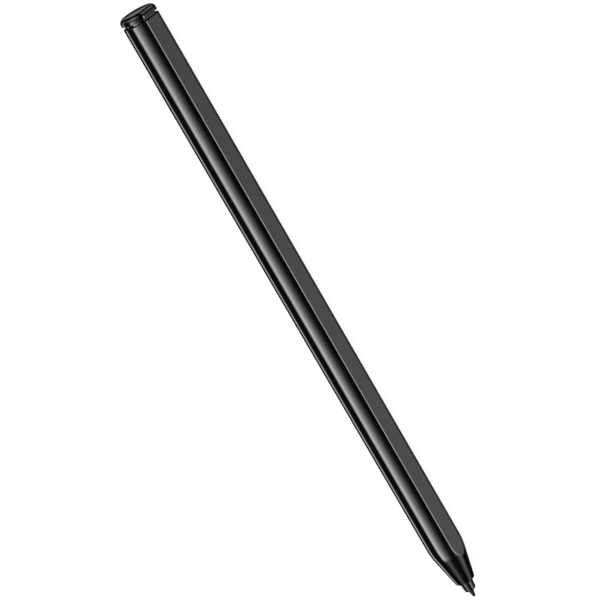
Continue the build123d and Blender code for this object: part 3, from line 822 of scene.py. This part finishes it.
@dataclass
class SubAssembly:
    """Pieces that are made and dressed together.

    Attributes:
        palette: Materials by slot.
    """

    palette: dict[str, bpy.types.Material]

    def add(self, surface: Surface, node: str, body: str) -> bpy.types.Object:
        """Put a new piece in the place of a node.

        Args:
            surface: Its surface.
            node: Node it stands for, whose name and finish it takes.
            body: Body it moves with.

        Returns:
            The new piece.
        """
        piece = bpy.data.objects.new(f"{node}_skin", surface.mesh(f"{node}_skin"))
        bpy.context.collection.objects.link(piece)
        slot = slot_of(node)
        piece.data.materials.append(self.palette[slot])
        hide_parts(node)
        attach(piece, body)
        log.info("built %s on %s with %d faces", node, body, len(surface.faces))
        return piece

    def dress(self, *nodes: str) -> None:
        """Give nodes that keep their own mesh their finish.

        Args:
            *nodes: Names of the nodes.
        """
        for node in nodes:
            piece = frame["nodes"][node]
            slot = slot_of(node)
            if not piece.material_slots:
                piece.data.materials.append(None)
            for place in piece.material_slots:
                place.material = self.palette[slot]
            log.info("dressed %s in %s", node, slot)


def slot_of(node: str) -> str:
    """Name of the material slot of a node.

    Args:
        node: The node.

    Returns:
        Its slot in the record.
    """
    parts = frame["record"]["subparts"]
    return next(part["material_slot"] for part in parts if part["node"] == node)


def axis_height() -> float:
    """Height of the pen's axis, from the barrel's box."""
    low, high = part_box("barrel")
    return (low.z + high.z) / 2


def flat_angle() -> float:
    """Angle from the middle of the barrel's flat to its edge, in degrees."""
    low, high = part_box("barrel")
    return math.degrees(math.acos(-low.y / high.y))


@dataclass
class BarrelShell(SubAssembly):
    """The barrel: nose, taper, shoulder and tube with a flat, in one shell.

    Attributes:
        wall: Thickness of the shell.
        flat_edge: Radius of the flat's edges.
        nose_radius: Radius of the nose's face before its edge is rounded.
        nose_edge: Radius of that rounding.
        nose_angle: Slope of the taper, in degrees.
        nose_land: Length of the hole for the collar.
        hole_radius: Radius of that hole.
        shoulder: Radius of the curve from taper to tube.
        rim: Radius of the rounding at the tail.
        mouth: Size of the bevel inside the tail's mouth.
        nick: Radius of the small roundings inside.
        taper_start: Distance from the nose's rounding to the first ring behind it.
        ring_spans: Starts and ends of spans behind the nose, in millimetres, and the rings in each.
        tube_rings: Number of rings behind those spans.
        bore_rings: Number of rings in the bore.
        hole_rings: Number of rings in the hole.
    """

    wall: float = 0.7 * MM
    flat_edge: float = 0.75 * MM
    nose_radius: float = 2.5 * MM
    nose_edge: float = 0.25 * MM
    nose_angle: float = 11.45
    nose_land: float = 2.8 * MM
    hole_radius: float = 1.73 * MM
    shoulder: float = 19.0 * MM
    rim: float = 0.1 * MM
    mouth: float = 0.45 * MM
    nick: float = 0.04 * MM
    taper_start: float = 0.02 * MM
    ring_spans: tuple[tuple[float, float, int], ...] = (
        (0.0, 6.4, 14),
        (6.4, 8.6, 30),
        (8.6, 12.2, 30),
        (12.2, 20.0, 8),
    )
    tube_rings: int = 40
    bore_rings: int = 60
    hole_rings: int = 8

    def profile(self, x: float, inset: float = 0.0) -> tuple[float, float]:
        """Radius and lean of the outside, or of a surface inside it.

        Args:
            x: Place along the pen.
            inset: How far inside the outer surface.

        Returns:
            The radius and the lean of the normal in radians.
        """
        low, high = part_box("barrel")
        slope = math.radians(self.nose_angle)
        taper = (high.y - self.nose_radius) / math.tan(slope)
        tube_x = low.x + taper + self.shoulder * math.tan(slope / 2)
        bend = self.shoulder - inset
        back = tube_x - x
        if back <= 0.0:
            return high.y - inset, 0.0
        if back < bend * math.sin(slope):
            return high.y - self.shoulder + math.sqrt(bend**2 - back**2), -math.asin(back / bend)
        return self.nose_radius + (x - low.x) * math.tan(slope) - inset / math.cos(slope), -slope

    def outside(self, start: float, end: float) -> list[Ring]:
        """Rings of the outside, closest together where the flat runs out.

        Args:
            start: Place of the first ring.
            end: Place of the last one.

        Returns:
            The rings from nose to tail.
        """
        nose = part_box("barrel")[0]
        nose_x, flat = nose.x, -nose.y
        places = [start]
        for low, high, count in self.ring_spans:
            places += [nose_x + MM * step for step in np.linspace(low, high, count, endpoint=False)]
        places += list(np.linspace(nose_x + self.ring_spans[-1][1] * MM, end, self.tube_rings))
        rings = []
        for x in places:
            if start <= x <= end:
                radius, lean = self.profile(x)
                rings.append(Ring(x, radius, lean, flat, 0.0, self.flat_edge))
        return rings

    def rings(self) -> list[Ring]:
        """Rings of the whole shell.

        Returns:
            The rings: hole, nose, outside, tail rim, bore and seat.
        """
        low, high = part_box("barrel")
        radius, flat = high.y, -low.y
        nick, seat_x = self.nick, low.x + self.nose_land
        slope = self.nose_angle
        face = corner(low.x + nick, self.hole_radius + nick, nick, (-180.0, -90.0))
        tilt = math.radians(slope)
        edge_r = self.nose_radius - self.nose_edge * (1 - math.sin(tilt)) / math.cos(tilt)
        nose = corner(low.x + self.nose_edge, edge_r, self.nose_edge, (-90.0, -slope), steps=10)
        outside = self.outside(nose[-1].x + self.taper_start, high.x - self.rim)
        rim_r, rim_flat, rim_edge = (size - self.rim for size in (radius, flat, self.flat_edge))
        rim = corner(high.x - self.rim, rim_r, self.rim, (0.0, 90.0), rim_flat, rim_edge)
        bore_r, bore_flat = radius - self.wall, flat - self.wall
        land_r, land_flat = bore_r + self.mouth, bore_flat + self.mouth
        bore_x = high.x - self.mouth - nick
        mouth = [
            *small_corner(high.x - nick, land_r, nick, (90.0, 135.0), land_flat),
            *small_corner(bore_x, bore_r + nick, nick, (135.0, 180.0), bore_flat + nick),
        ]
        bore = [
            Ring(x, self.profile(x, self.wall)[0], math.pi, bore_flat, math.pi)
            for x in np.linspace(bore_x - nick, seat_x + 2 * nick, self.bore_rings)
        ]
        end_r = self.profile(seat_x, self.wall)[0]
        nook = corner(seat_x + nick, end_r - nick, -nick, (0.0, -90.0))
        seat = corner(seat_x - nick, self.hole_radius + nick, nick, (90.0, 180.0))
        hole_x = np.linspace(seat_x - 2 * nick, low.x + 2 * nick, self.hole_rings)
        hole = [Ring(x, self.hole_radius, math.pi) for x in hole_x]
        return [*face, *nose, *outside, *rim, *mouth, *bore, *nook, *seat, *hole]

    def build(self) -> None:
        """Build and dress the shell."""
        lathe = Lathe(axis_height(), flat_angle())
        self.add(lathe.turn(self.rings(), hollow=True), "barrel", "pen_body")


@dataclass(frozen=True)
class SpringShape:
    """A coil spring on the pen's axis.

    Attributes:
        node: Node it stands for.
        wire: Thickness of the wire.
        turns: Number of turns, the closed ones included.
        closed: Turns that lie close at each end.
        pitch: Pitch of those turns, as a multiple of the wire's thickness.
        points: Number of points on a turn.
    """

    node: str
    wire: float
    turns: float
    closed: float = 0.8
    pitch: float = 1.04
    points: int = 40

    def surface(self) -> Surface:
        """Surface of the spring at rest.

        Returns:
            The closed surface.
        """
        low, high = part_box(self.node)
        radius = (high.y - low.y - self.wire) / 2
        length = high.x - low.x - self.wire
        turn = np.linspace(0.0, self.turns, int(self.points * self.turns))
        close = self.closed * self.wire * self.pitch
        stops = [0.0, self.closed, self.turns - self.closed, self.turns]
        x = low.x + self.wire / 2 + np.interp(turn, stops, [0.0, close, length - close, length])
        angle = 2 * math.pi * turn
        path = np.stack([x, radius * np.cos(angle), axis_height() + radius * np.sin(angle)], axis=1)
        return Wire(self.wire / 2).sweep(path)


@dataclass
class TipUnit(SubAssembly):
    """Collar, nib and the holder behind it with its spring.

    Attributes:
        collar_proud: How far the collar stands out of the barrel.
        collar_front: Radius of its front face before its edge is rounded.
        collar_edge: Radius of that rounding.
        collar_base: Radius of the collar in the barrel's hole.
        flange: Thickness of its flange.
        collar_wall: Thickness of its front wall.
        pass_gap: Gap round the nib in that wall.
        holder_gap: Gap round the nib's holder.
        nib_tip: Radius of the nib's point.
        nib_end: Rounding at the nib's inner end.
        nick: Radius of the small roundings.
        spring: The holder's spring.
    """

    collar_proud: float = 2.9 * MM
    collar_front: float = 1.41 * MM
    collar_edge: float = 0.5 * MM
    collar_base: float = 1.7 * MM
    flange: float = 1.0 * MM
    collar_wall: float = 0.5 * MM
    pass_gap: float = 0.07 * MM
    holder_gap: float = 0.05 * MM
    nib_tip: float = 0.38 * MM
    nib_end: float = 0.12 * MM
    nick: float = 0.03 * MM
    spring: SpringShape = SpringShape("tip_spring", 0.22 * MM, 6.0)

    def collar_rings(self) -> list[Ring]:
        """Rings of the collar.

        Returns:
            The rings: holder's bore, nib's hole, front, outside, flange and back.
        """
        low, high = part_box("tip_collar")
        nick = self.nick
        nose_x = low.x + self.collar_proud
        step_x = nose_x + self.collar_wall
        seat_x = high.x - self.flange
        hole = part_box("nib")[1].y + self.pass_gap
        bore = front_radius("nib_holder", seat_x) + self.holder_gap
        slope = math.atan2(self.collar_base - self.collar_front, self.collar_proud)
        edge = self.collar_edge
        edge_r = self.collar_front - edge * (1 - math.sin(slope)) / math.cos(slope)
        front = corner(low.x + edge, edge_r, edge, (-90.0, -math.degrees(slope)), steps=8)
        base = Ring(nose_x, self.collar_base, -slope)
        return [
            *small_corner(high.x - nick, bore + nick, nick, (90.0, 180.0)),
            *small_corner(step_x + nick, bore - nick, -nick, (0.0, -90.0)),
            *small_corner(step_x - nick, hole + nick, nick, (90.0, 180.0)),
            *small_corner(low.x + nick, hole + nick, nick, (-180.0, -90.0)),
            *front,
            *straight(front[-1], base, RUN_RINGS),
            base,
            Ring(nose_x + nick, self.collar_base),
            *small_corner(seat_x - nick, self.collar_base + nick, -nick, (180.0, 90.0)),
            *small_corner(seat_x + nick, high.y - nick, nick, (-90.0, 0.0)),
            *small_corner(high.x - nick, high.y - nick, nick, (0.0, 90.0)),
        ]

    def nib_rings(self) -> list[Ring]:
        """Rings of the nib.

        Returns:
            The rings from its point to its inner end.
        """
        low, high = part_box("nib")
        face_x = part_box("tip_collar")[0].x
        slope = math.atan2(high.y - self.nib_tip, face_x - low.x - self.nib_tip)
        leans = (-90.0, -math.degrees(slope))
        point = corner(low.x + self.nib_tip, 0.0, self.nib_tip, leans, steps=12)
        base = Ring(face_x, high.y, -slope)
        return [
            pole(low.x, End.NIB),
            *point[1:],
            *straight(point[-1], base, RUN_RINGS),
            base,
            Ring(face_x + self.nick, high.y),
            *corner(high.x - self.nib_end, high.y - self.nib_end, self.nib_end, (0.0, 90.0)),
            pole(high.x, End.TAIL),
        ]

    def build(self) -> None:
        """Build and dress the pieces of the tip."""
        lathe = Lathe(axis_height())
        self.add(lathe.turn(self.collar_rings(), hollow=True), "tip_collar", "pen_body")
        self.add(lathe.turn(self.nib_rings(), hollow=False), "nib", "nib")
        piece = self.add(self.spring.surface(), "tip_spring", "pen_body")
        squeeze(piece)
        self.dress("nib_holder", "tilt_ring")


def front_radius(node: str, x: float) -> float:
    """Outer radius of a turned node in front of a place.

    Args:
        node: The node.
        x: The place along the pen.

    Returns:
        The largest distance from the axis of its points from the nib's side up to that place.
    """
    axis = axis_height()
    spots = [v.co for v in frame["nodes"][node].data.vertices if v.co.x <= x]
    return max(math.hypot(spot.y, spot.z - axis) for spot in spots)


def squeeze(piece: bpy.types.Object) -> None:
    """Give a springy piece its own copy of its mesh.

    Args:
        piece: The piece.
    """
    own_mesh(piece)


@dataclass
class SensorUnit(SubAssembly):
    """Force sensor with its block, pad and backing.

    Attributes:
        pad_edge: Rounding of the pad's edges.
        pad_bulge: How far the pad's side bulges.
        pad_lean: Lean of its side at the edges, in degrees.
    """

    pad_edge: float = 0.12 * MM
    pad_bulge: float = 0.03 * MM
    pad_lean: float = 12.0

    def pad_rings(self) -> list[Ring]:
        """Rings of the soft pad.

        Returns:
            The rings from front to back.
        """
        low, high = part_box("sensor_pad")
        edge, radius = self.pad_edge, high.y - self.pad_edge
        middle = (low.x + high.x) / 2
        return [
            pole(low.x, End.NIB),
            *corner(low.x + edge, radius, edge, (-90.0, -self.pad_lean)),
            Ring(middle, high.y + self.pad_bulge),
            *corner(high.x - edge, radius, edge, (self.pad_lean, 90.0)),
            pole(high.x, End.TAIL),
        ]

    def build(self) -> None:
        """Build the pad and dress the pieces round it."""
        pad = Lathe(axis_height()).turn(self.pad_rings(), hollow=False)
        piece = self.add(pad, "sensor_pad", "pen_body")
        squeeze(piece)
        self.dress("sensor_block", "force_sensor", "sensor_plate", "sensor_flex", "sensor_screws")


@dataclass
class ChargingUnit(SubAssembly):
    """Charging coil and magnets behind the flat.

    Attributes:
        winding: Width of the coil's winding.
        turns: Turns side by side in it.
        layers: Layers of turns.
        fill: Share of the wire's room that the wire fills.
        sides: Number of lines round the wire.
        points: Number of points on a turn.
        squareness: How quickly a turn goes round its ends.
    """

    winding: float = 0.9 * MM
    turns: int = 4
    layers: int = 2
    fill: float = 0.94
    sides: int = 8
    points: int = 96
    squareness: float = 6.0

    def coil_path(self, layer: int) -> np.ndarray:
        """Middle line of one layer of the coil, wound inwards.

        Args:
            layer: Number of the layer, from the flat's side.

        Returns:
            Points along the wire.
        """
        low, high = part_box("charge_coil")
        room = self.winding / self.turns
        outer = (high.z - low.z) / 2 - room / 2
        half = (high.x - low.x - (high.z - low.z)) / 2
        share = np.linspace(0.0, self.turns - 1.0, self.points * (self.turns - 1) + 1)
        angle = 2 * math.pi * share
        radius = outer - room * share
        shift = half * np.clip(self.squareness * np.cos(angle), -1.0, 1.0)
        x = (low.x + high.x) / 2 + radius * np.cos(angle) + shift
        z = (low.z + high.z) / 2 + radius * np.sin(angle)
        depth = (high.y - low.y) / self.layers
        return np.stack([x, np.full_like(x, low.y + depth * (layer + 0.5)), z], axis=1)

    def build(self) -> None:
        """Wind the coil and dress the pieces behind the flat."""
        low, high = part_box("charge_coil")
        room = min(self.winding / self.turns, (high.y - low.y) / self.layers)
        wire = Wire(self.fill / 2 * room, self.sides)
        coil = Surface()
        for layer in range(self.layers):
            part = wire.sweep(self.coil_path(layer))
            first = len(coil.points)
            coil.row(np.array(part.points), np.array(part.normals))
            coil.faces += [tuple(first + index for index in face) for face in part.faces]
        self.add(coil, "charge_coil", "pen_body")
        self.dress("coil_ferrite", "coil_leads", "front_magnets", "rear_magnets")


@dataclass
class Electronics(SubAssembly):
    """Carrier with the boards, the parts on them, the cell and the wiring."""

    def build(self) -> None:
        """Dress the pieces in the carrier."""
        self.dress("carrier", "main_board", "controller_chip", "charger_chip", "power_inductor")
        self.dress("crystal", "board_passives", "battery_socket", "ribbon_sockets", "board_screws")
        self.dress("flex_ribbon", "battery_cell", "battery_board", "battery_pad", "battery_leads")
        self.dress("tail_board", "radio_chip", "chip_antenna")


@dataclass
class TailUnit(SubAssembly):
    """Tail button with its spring, guide and switch.

    Attributes:
        cap_height: Height of the cap above its rim.
        cap_round: Radius of the rounding round its top.
        cap_corner: Radius of the edges of its flat.
        cap_draft: Slope of its side below the rounding, in degrees.
        cap_dome: Rise of its top, if it went on to the cap's side.
        cap_edge: Radius of the rounding at its rim.
        neck_length: Length of the neck under the cap.
        neck_inset: How far the neck stays inside the barrel's outside.
        neck_floor: Depth of solid above the spring's pocket.
        pocket_radius: Radius of that pocket.
        stem_radius: Radius of the stem.
        groove: Depth of the groove for the clip.
        nick: Radius of the small roundings.
        spring: The button's spring.
        neck_rings: Number of rings along the neck.
        side_rings: Number of rings on the cap's side.
        round_rings: Number of rings on the rounding.
        top_rings: Number of rings on the top.
        top_start: Where those start, as a share of the way from the axis to the flat's rounding.
    """

    cap_height: float = 1.7 * MM
    cap_round: float = 1.1 * MM
    cap_corner: float = 1.15 * MM
    cap_draft: float = 1.3
    cap_dome: float = 0.15 * MM
    cap_edge: float = 0.05 * MM
    neck_length: float = 4.0 * MM
    neck_inset: float = 0.82 * MM
    neck_floor: float = 1.3 * MM
    pocket_radius: float = 2.02 * MM
    stem_radius: float = 1.2 * MM
    groove: float = 0.3 * MM
    nick: float = 0.04 * MM
    spring: SpringShape = SpringShape("button_spring", 0.32 * MM, 5.0)
    neck_rings: int = 8
    side_rings: int = 4
    round_rings: int = 30
    top_rings: int = 16
    top_start: float = 0.99

    def stem_rings(self) -> list[Ring]:
        """Rings of the stem and the spring's pocket.

        Returns:
            The rings from the stem's end to the neck's end.
        """
        low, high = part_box("tail_button")
        clip_low, clip_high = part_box("button_clip")
        nick, stem = self.nick, self.stem_radius
        core = stem - self.groove
        rim_x = high.x - self.cap_height
        seat_x, neck_x = rim_x - self.neck_floor, rim_x - self.neck_length
        return [
            pole(low.x, End.NIB),
            *small_corner(low.x + nick, stem - nick, nick, (-90.0, 0.0)),
            *small_corner(clip_low.x - nick, stem - nick, nick, (0.0, 90.0)),
            *small_corner(clip_low.x + nick, core + nick, -nick, (270.0, 180.0)),
            *small_corner(clip_high.x - nick, core + nick, -nick, (180.0, 90.0)),
            *small_corner(clip_high.x + nick, stem - nick, nick, (-90.0, 0.0)),
            *small_corner(seat_x - nick, stem + nick, -nick, (180.0, 90.0)),
            *small_corner(seat_x - nick, self.pocket_radius - nick, -nick, (90.0, 0.0)),
            *small_corner(neck_x + nick, self.pocket_radius + nick, nick, (-180.0, -90.0)),
        ]

    def cap_rings(self) -> list[Ring]:
        """Rings of the neck and the cap.

        Returns:
            The rings from the neck's end to the middle of the cap's top.
        """
        low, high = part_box("tail_button")
        nick, edge = self.nick, self.cap_edge
        radius, flat = high.y, -low.y
        neck, neck_flat = radius - self.neck_inset, flat - self.neck_inset
        rim_x = high.x - self.cap_height
        neck_x = rim_x - self.neck_length
        hub, flat_hub = radius - self.cap_round, flat - self.cap_round
        dome = (radius**2 + self.cap_dome**2) / (2 * self.cap_dome)
        lift = math.asin(hub / (dome - self.cap_round))
        side_x = high.x - dome + (dome - self.cap_round) * math.cos(lift)
        draft = math.radians(self.cap_draft)
        drop = (side_x - rim_x) * math.tan(draft) / 2
        side = Ring(side_x, radius - drop, draft, flat - drop, draft, self.cap_corner)
        rim_r, rim_flat, rim_corner = (size - edge for size in (radius, flat, self.cap_corner))
        rim = corner(rim_x + edge, rim_r, edge, (-90.0, 0.0), rim_flat, rim_corner)
        leans = (self.cap_draft, 90.0 - math.degrees(lift))
        inner = self.cap_corner - self.cap_round
        rounding = corner(
            side_x, hub - drop, self.cap_round, leans, flat_hub - drop, inner, steps=self.round_rings
        )
        tilt = math.asin(self.top_start * flat_hub / dome)
        top = [
            Ring(high.x - dome * (1 - math.cos(a)), dome * math.sin(a), math.pi / 2 - a)
            for a in np.linspace(tilt, 0.0, self.top_rings, endpoint=False)
        ]
        neck_places = np.linspace(neck_x, rim_x, self.neck_rings + 2)[1:-1]
        return [
            *small_corner(neck_x + nick, neck - nick, nick, (-90.0, 0.0), neck_flat - nick, nick),
            *[Ring(x, neck, 0.0, neck_flat, 0.0, nick) for x in neck_places],
            *small_corner(rim_x - nick, neck + nick, -nick, (180.0, 90.0), neck_flat + nick, nick),
            *rim,
            *straight(rim[-1], side, self.side_rings),
            *rounding,
            *top,
            pole(high.x, End.TAIL),
        ]

    def build(self) -> None:
        """Build the button and its spring and dress the pieces round them."""
        lathe = Lathe(axis_height(), flat_angle())
        button = lathe.turn([*self.stem_rings(), *self.cap_rings()], hollow=False)
        self.add(button, "tail_button", "tail_button")
        piece = self.add(self.spring.surface(), "button_spring", "pen_body")
        squeeze(piece)
        self.dress("button_clip", "tail_guide", "tail_switch", "switch_stem")


@dataclass(frozen=True)
class SoftPanel:
    """A long soft light that runs along the pen.

    Attributes:
        name: What it lights.
        rise: Angles over which its light comes up, from straight up towards the flat, in degrees.
        fall: Angles over which it goes down again.
        window: Where along the pen it starts, is full, starts to end and ends, as parts of a
            direction.
        level: Brightness of its middle.
        gamma: Power of its falling side.
        lean: How much brighter it gets towards the nib, for each part of the direction.
        slant: How much farther towards the nib it starts, for each degree towards the flat.
    """

    name: str
    rise: tuple[float, float]
    fall: tuple[float, float]
    window: tuple[float, float, float, float]
    level: float
    gamma: float = 1.0
    lean: float = 0.0
    slant: float = 0.0

    def nodes(self, bench: NodeBench, angle: Value, along: Value) -> Socket:
        """Brightness of the panel in a direction.

        Args:
            bench: Bench of the world.
            angle: Angle of the direction round the pen, in degrees.
            along: Its part along the pen.

        Returns:
            The output socket.
        """
        up = bench.remap(angle, self.rise)
        down = bench.calc("POWER", bench.remap(angle, self.fall, (1.0, 0.0)), self.gamma)
        slanted = bench.calc("MULTIPLY_ADD", angle, self.slant, along)
        start = bench.remap(slanted, self.window[:2], smooth=True)
        end = bench.remap(along, self.window[2:], (1.0, 0.0), smooth=True)
        tilt = bench.calc("MAXIMUM", bench.calc("MULTIPLY_ADD", along, -self.lean, 1.0), 0.0)
        total: Value = self.level
        for share in (up, down, start, end, tilt):
            total = bench.calc("MULTIPLY", share, total)
        return total


@dataclass(frozen=True)
class Studio:
    """Soft panels round the pen over a pale light table.

    Attributes:
        panels: The panels.
        ambient: Brightness between them.
        backdrop: Brightness of the backdrop in view.
        table_radius: Radius of the table.
        table_glow: Light the table gives itself.
        table_colour: Share of light it throws back.
        table_sides: Number of corners round it.
    """

    panels: tuple[SoftPanel, ...] = (
        SoftPanel("back of the barrel", (-21.3, -9.8), (-6.0, 61.0), (-0.704, -0.58, -0.15, -0.04),
                  10.2, 2.6, slant=0.001),
        SoftPanel("edge of the flat", (84.0, 92.0), (113.0, 122.0), (-0.63, -0.55, -0.1, 0.1), 8.7),
        SoftPanel("flat", (86.0, 122.0), (124.0, 158.0), (-0.62, -0.5, -0.15, -0.04),
                  1.47, lean=0.485),
        SoftPanel("end of the flat", (68.0, 84.0), (88.0, 96.0), (-0.715, -0.645, -0.47, -0.4),
                  1.0),
        SoftPanel("far side", (-82.5, -78.0), (-72.0, -63.0), (-0.9, -0.6, -0.02, 0.05), 3.2),
        SoftPanel("under the flat", (-179.0, -174.0), (-140.0, -128.0), (-0.62, -0.5, -0.02, 0.03),
                  0.12),
        SoftPanel("back of the taper", (-14.0, 10.0), (8.0, 35.0), (-1.3, -1.2, -0.67, -0.6), 1.4),
        SoftPanel("front of the taper", (82.0, 108.0), (114.0, 139.0), (-1.3, -1.2, -0.63, -0.56),
                  11.5, lean=-1.255),
        SoftPanel("cap", (-160.0, -140.0), (-118.0, -98.0), (0.125, 0.21, 0.22, 0.31), 0.42),
        SoftPanel("back of the cap's edge", (-52.0, -15.0), (2.0, 56.0), (0.3, 0.5, 0.9, 0.98),
                  3.5),
        SoftPanel("front of the cap's edge", (112.0, 130.0), (165.0, 178.0), (0.62, 0.72, 0.97, 1.0),
                  2.4),
        SoftPanel("barrel from the nib", (-21.0, -8.0), (0.0, 50.0), (-0.1, 0.0, 0.25, 0.4), 1.0),
        SoftPanel("flat from the nib", (100.0, 124.0), (126.0, 160.0), (-0.1, 0.0, 0.55, 0.7), 0.4),
        SoftPanel("far side from the nib", (-86.0, -80.0), (-66.0, -58.0), (0.0, 0.1, 0.5, 0.8),
                  1.0),
        SoftPanel("barrel from the tail", (-22.0, -8.0), (0.0, 60.0), (-1.2, -1.1, -0.8, -0.745),
                  4.0, 2.0),
        SoftPanel("flat from the tail", (90.0, 120.0), (125.0, 158.0), (-1.2, -1.1, -0.8, -0.745),
                  1.4),
    )
    ambient: float = 0.006
    backdrop: float = 1.03
    table_radius: float = 3.0
    table_glow: float = 0.97
    table_colour: float = 0.05
    table_sides: int = 64

    def light(self) -> None:
        """Light the scene with the panels, seen only in the pen; the backdrop is plain white."""
        world = bpy.data.worlds.new("studio")
        world.use_nodes = True
        bpy.context.scene.world = world
        bench = NodeBench(world.node_tree)
        parts = bench.add("SeparateXYZ", {0: bench.add("TexCoord").outputs["Generated"]}).outputs
        turned = bench.calc("ARCTAN2", bench.calc("MULTIPLY", parts[1], -1.0), parts[2])
        angle = bench.calc("DEGREES", turned)
        total: Value = self.ambient
        for panel in self.panels:
            total = bench.calc("ADD", panel.nodes(bench, angle, parts[0]), total)
            log.info("hung the panel for the %s", panel.name)
        seen = bench.add("LightPath").outputs["Is Camera Ray"]
        strength = bench.add("Mix", {0: seen, 2: total, 3: self.backdrop}).outputs[0]
        glow = bench.add("Background", {"Strength": strength, "Color": (1.0, 1.0, 1.0, 1.0)})
        bench.add("OutputWorld", {"Surface": glow.outputs[0]})

    def table(self) -> None:
        """Lay the table under the pen."""
        turn = np.linspace(0.0, 2 * math.pi, self.table_sides, endpoint=False)
        reach = self.table_radius
        points = [(reach * math.cos(a), reach * math.sin(a), 0.0) for a in turn]
        mesh = bpy.data.meshes.new("light_table")
        mesh.from_pydata(points, [], [tuple(range(len(points)))])
        table = bpy.data.objects.new("light_table", mesh)
        bpy.context.collection.objects.link(table)
        made = bpy.data.materials.new("light_table")
        made.use_nodes = True
        bench = NodeBench(made.node_tree)
        matt = bench.add("BsdfDiffuse", {"Color": (*[self.table_colour] * 3, 1.0)})
        glow = bench.add("Emission", {"Strength": self.table_glow})
        both = bench.add("AddShader", {0: matt.outputs[0], 1: glow.outputs[0]})
        bench.add("OutputMaterial", {"Surface": both.outputs[0]})
        mesh.materials.append(made)
        table.visible_glossy = False
        log.info("laid the light table")


@dataclass(frozen=True)
class PhotoCamera:
    """Camera at the photograph's angle.

    Attributes:
        lens: Focal length in millimetres.
        azimuth: Direction of the camera round the pen, in degrees.
        elevation: Its height above the horizon, in degrees.
        pen_slope: Angle of the pen's axis below the image's right, in degrees.
        aim: Point on the pen's axis that it looks past, along the pen.
        aside: How far it looks past the axis, away from the flat.
        distance: Distance from that point.
        near: Distance from which on it sees.
    """

    lens: float = 145.2
    azimuth: float = 20.38
    elevation: float = 37.3
    pen_slope: float = 59.883
    aim: float = 4.64 * MM
    aside: float = 0.578 * MM
    distance: float = 554.9 * MM
    near: float = 10.0 * MM

    def place(self) -> None:
        """Place the camera and make it the scene's own."""
        turn, lift = math.radians(self.azimuth), math.radians(self.elevation)
        level = math.cos(lift)
        back = Vector((math.sin(turn) * level, -math.cos(turn) * level, math.sin(lift)))
        to_nib = Vector((-1.0, 0.0, 0.0))
        to_nib = (to_nib - to_nib.dot(back) * back).normalized()
        to_flat = back.cross(to_nib)
        slope = math.radians(self.pen_slope)
        right = math.cos(slope) * to_nib + math.sin(slope) * to_flat
        up = -math.sin(slope) * to_nib + math.cos(slope) * to_flat
        point = Vector((self.aim, 0.0, axis_height())) - self.aside * to_flat + self.distance * back
        camera = bpy.data.objects.new("photo_camera", bpy.data.cameras.new("photo_camera"))
        camera.data.lens = self.lens
        camera.data.clip_start = self.near
        camera.matrix_world = Matrix((right, up, back)).transposed().to_4x4()
        camera.location = point
        bpy.context.collection.objects.link(camera)
        bpy.context.scene.camera = camera
        log.info("placed the camera")


def main() -> None:
    """Build, dress and light the pen."""
    logging.basicConfig(level=logging.INFO, format="%(name)s: %(message)s")
    shelf = EffectShelf()
    palette = {finish.slot: finish.material(shelf) for finish in FINISHES}
    for unit in (BarrelShell, TipUnit, SensorUnit, ChargingUnit, Electronics, TailUnit):
        unit(palette).build()
    studio = Studio()
    studio.light()
    studio.table()
    PhotoCamera().place()
    bpy.context.scene.view_settings.view_transform = "Standard"


if __name__ == "__main__":
    main()
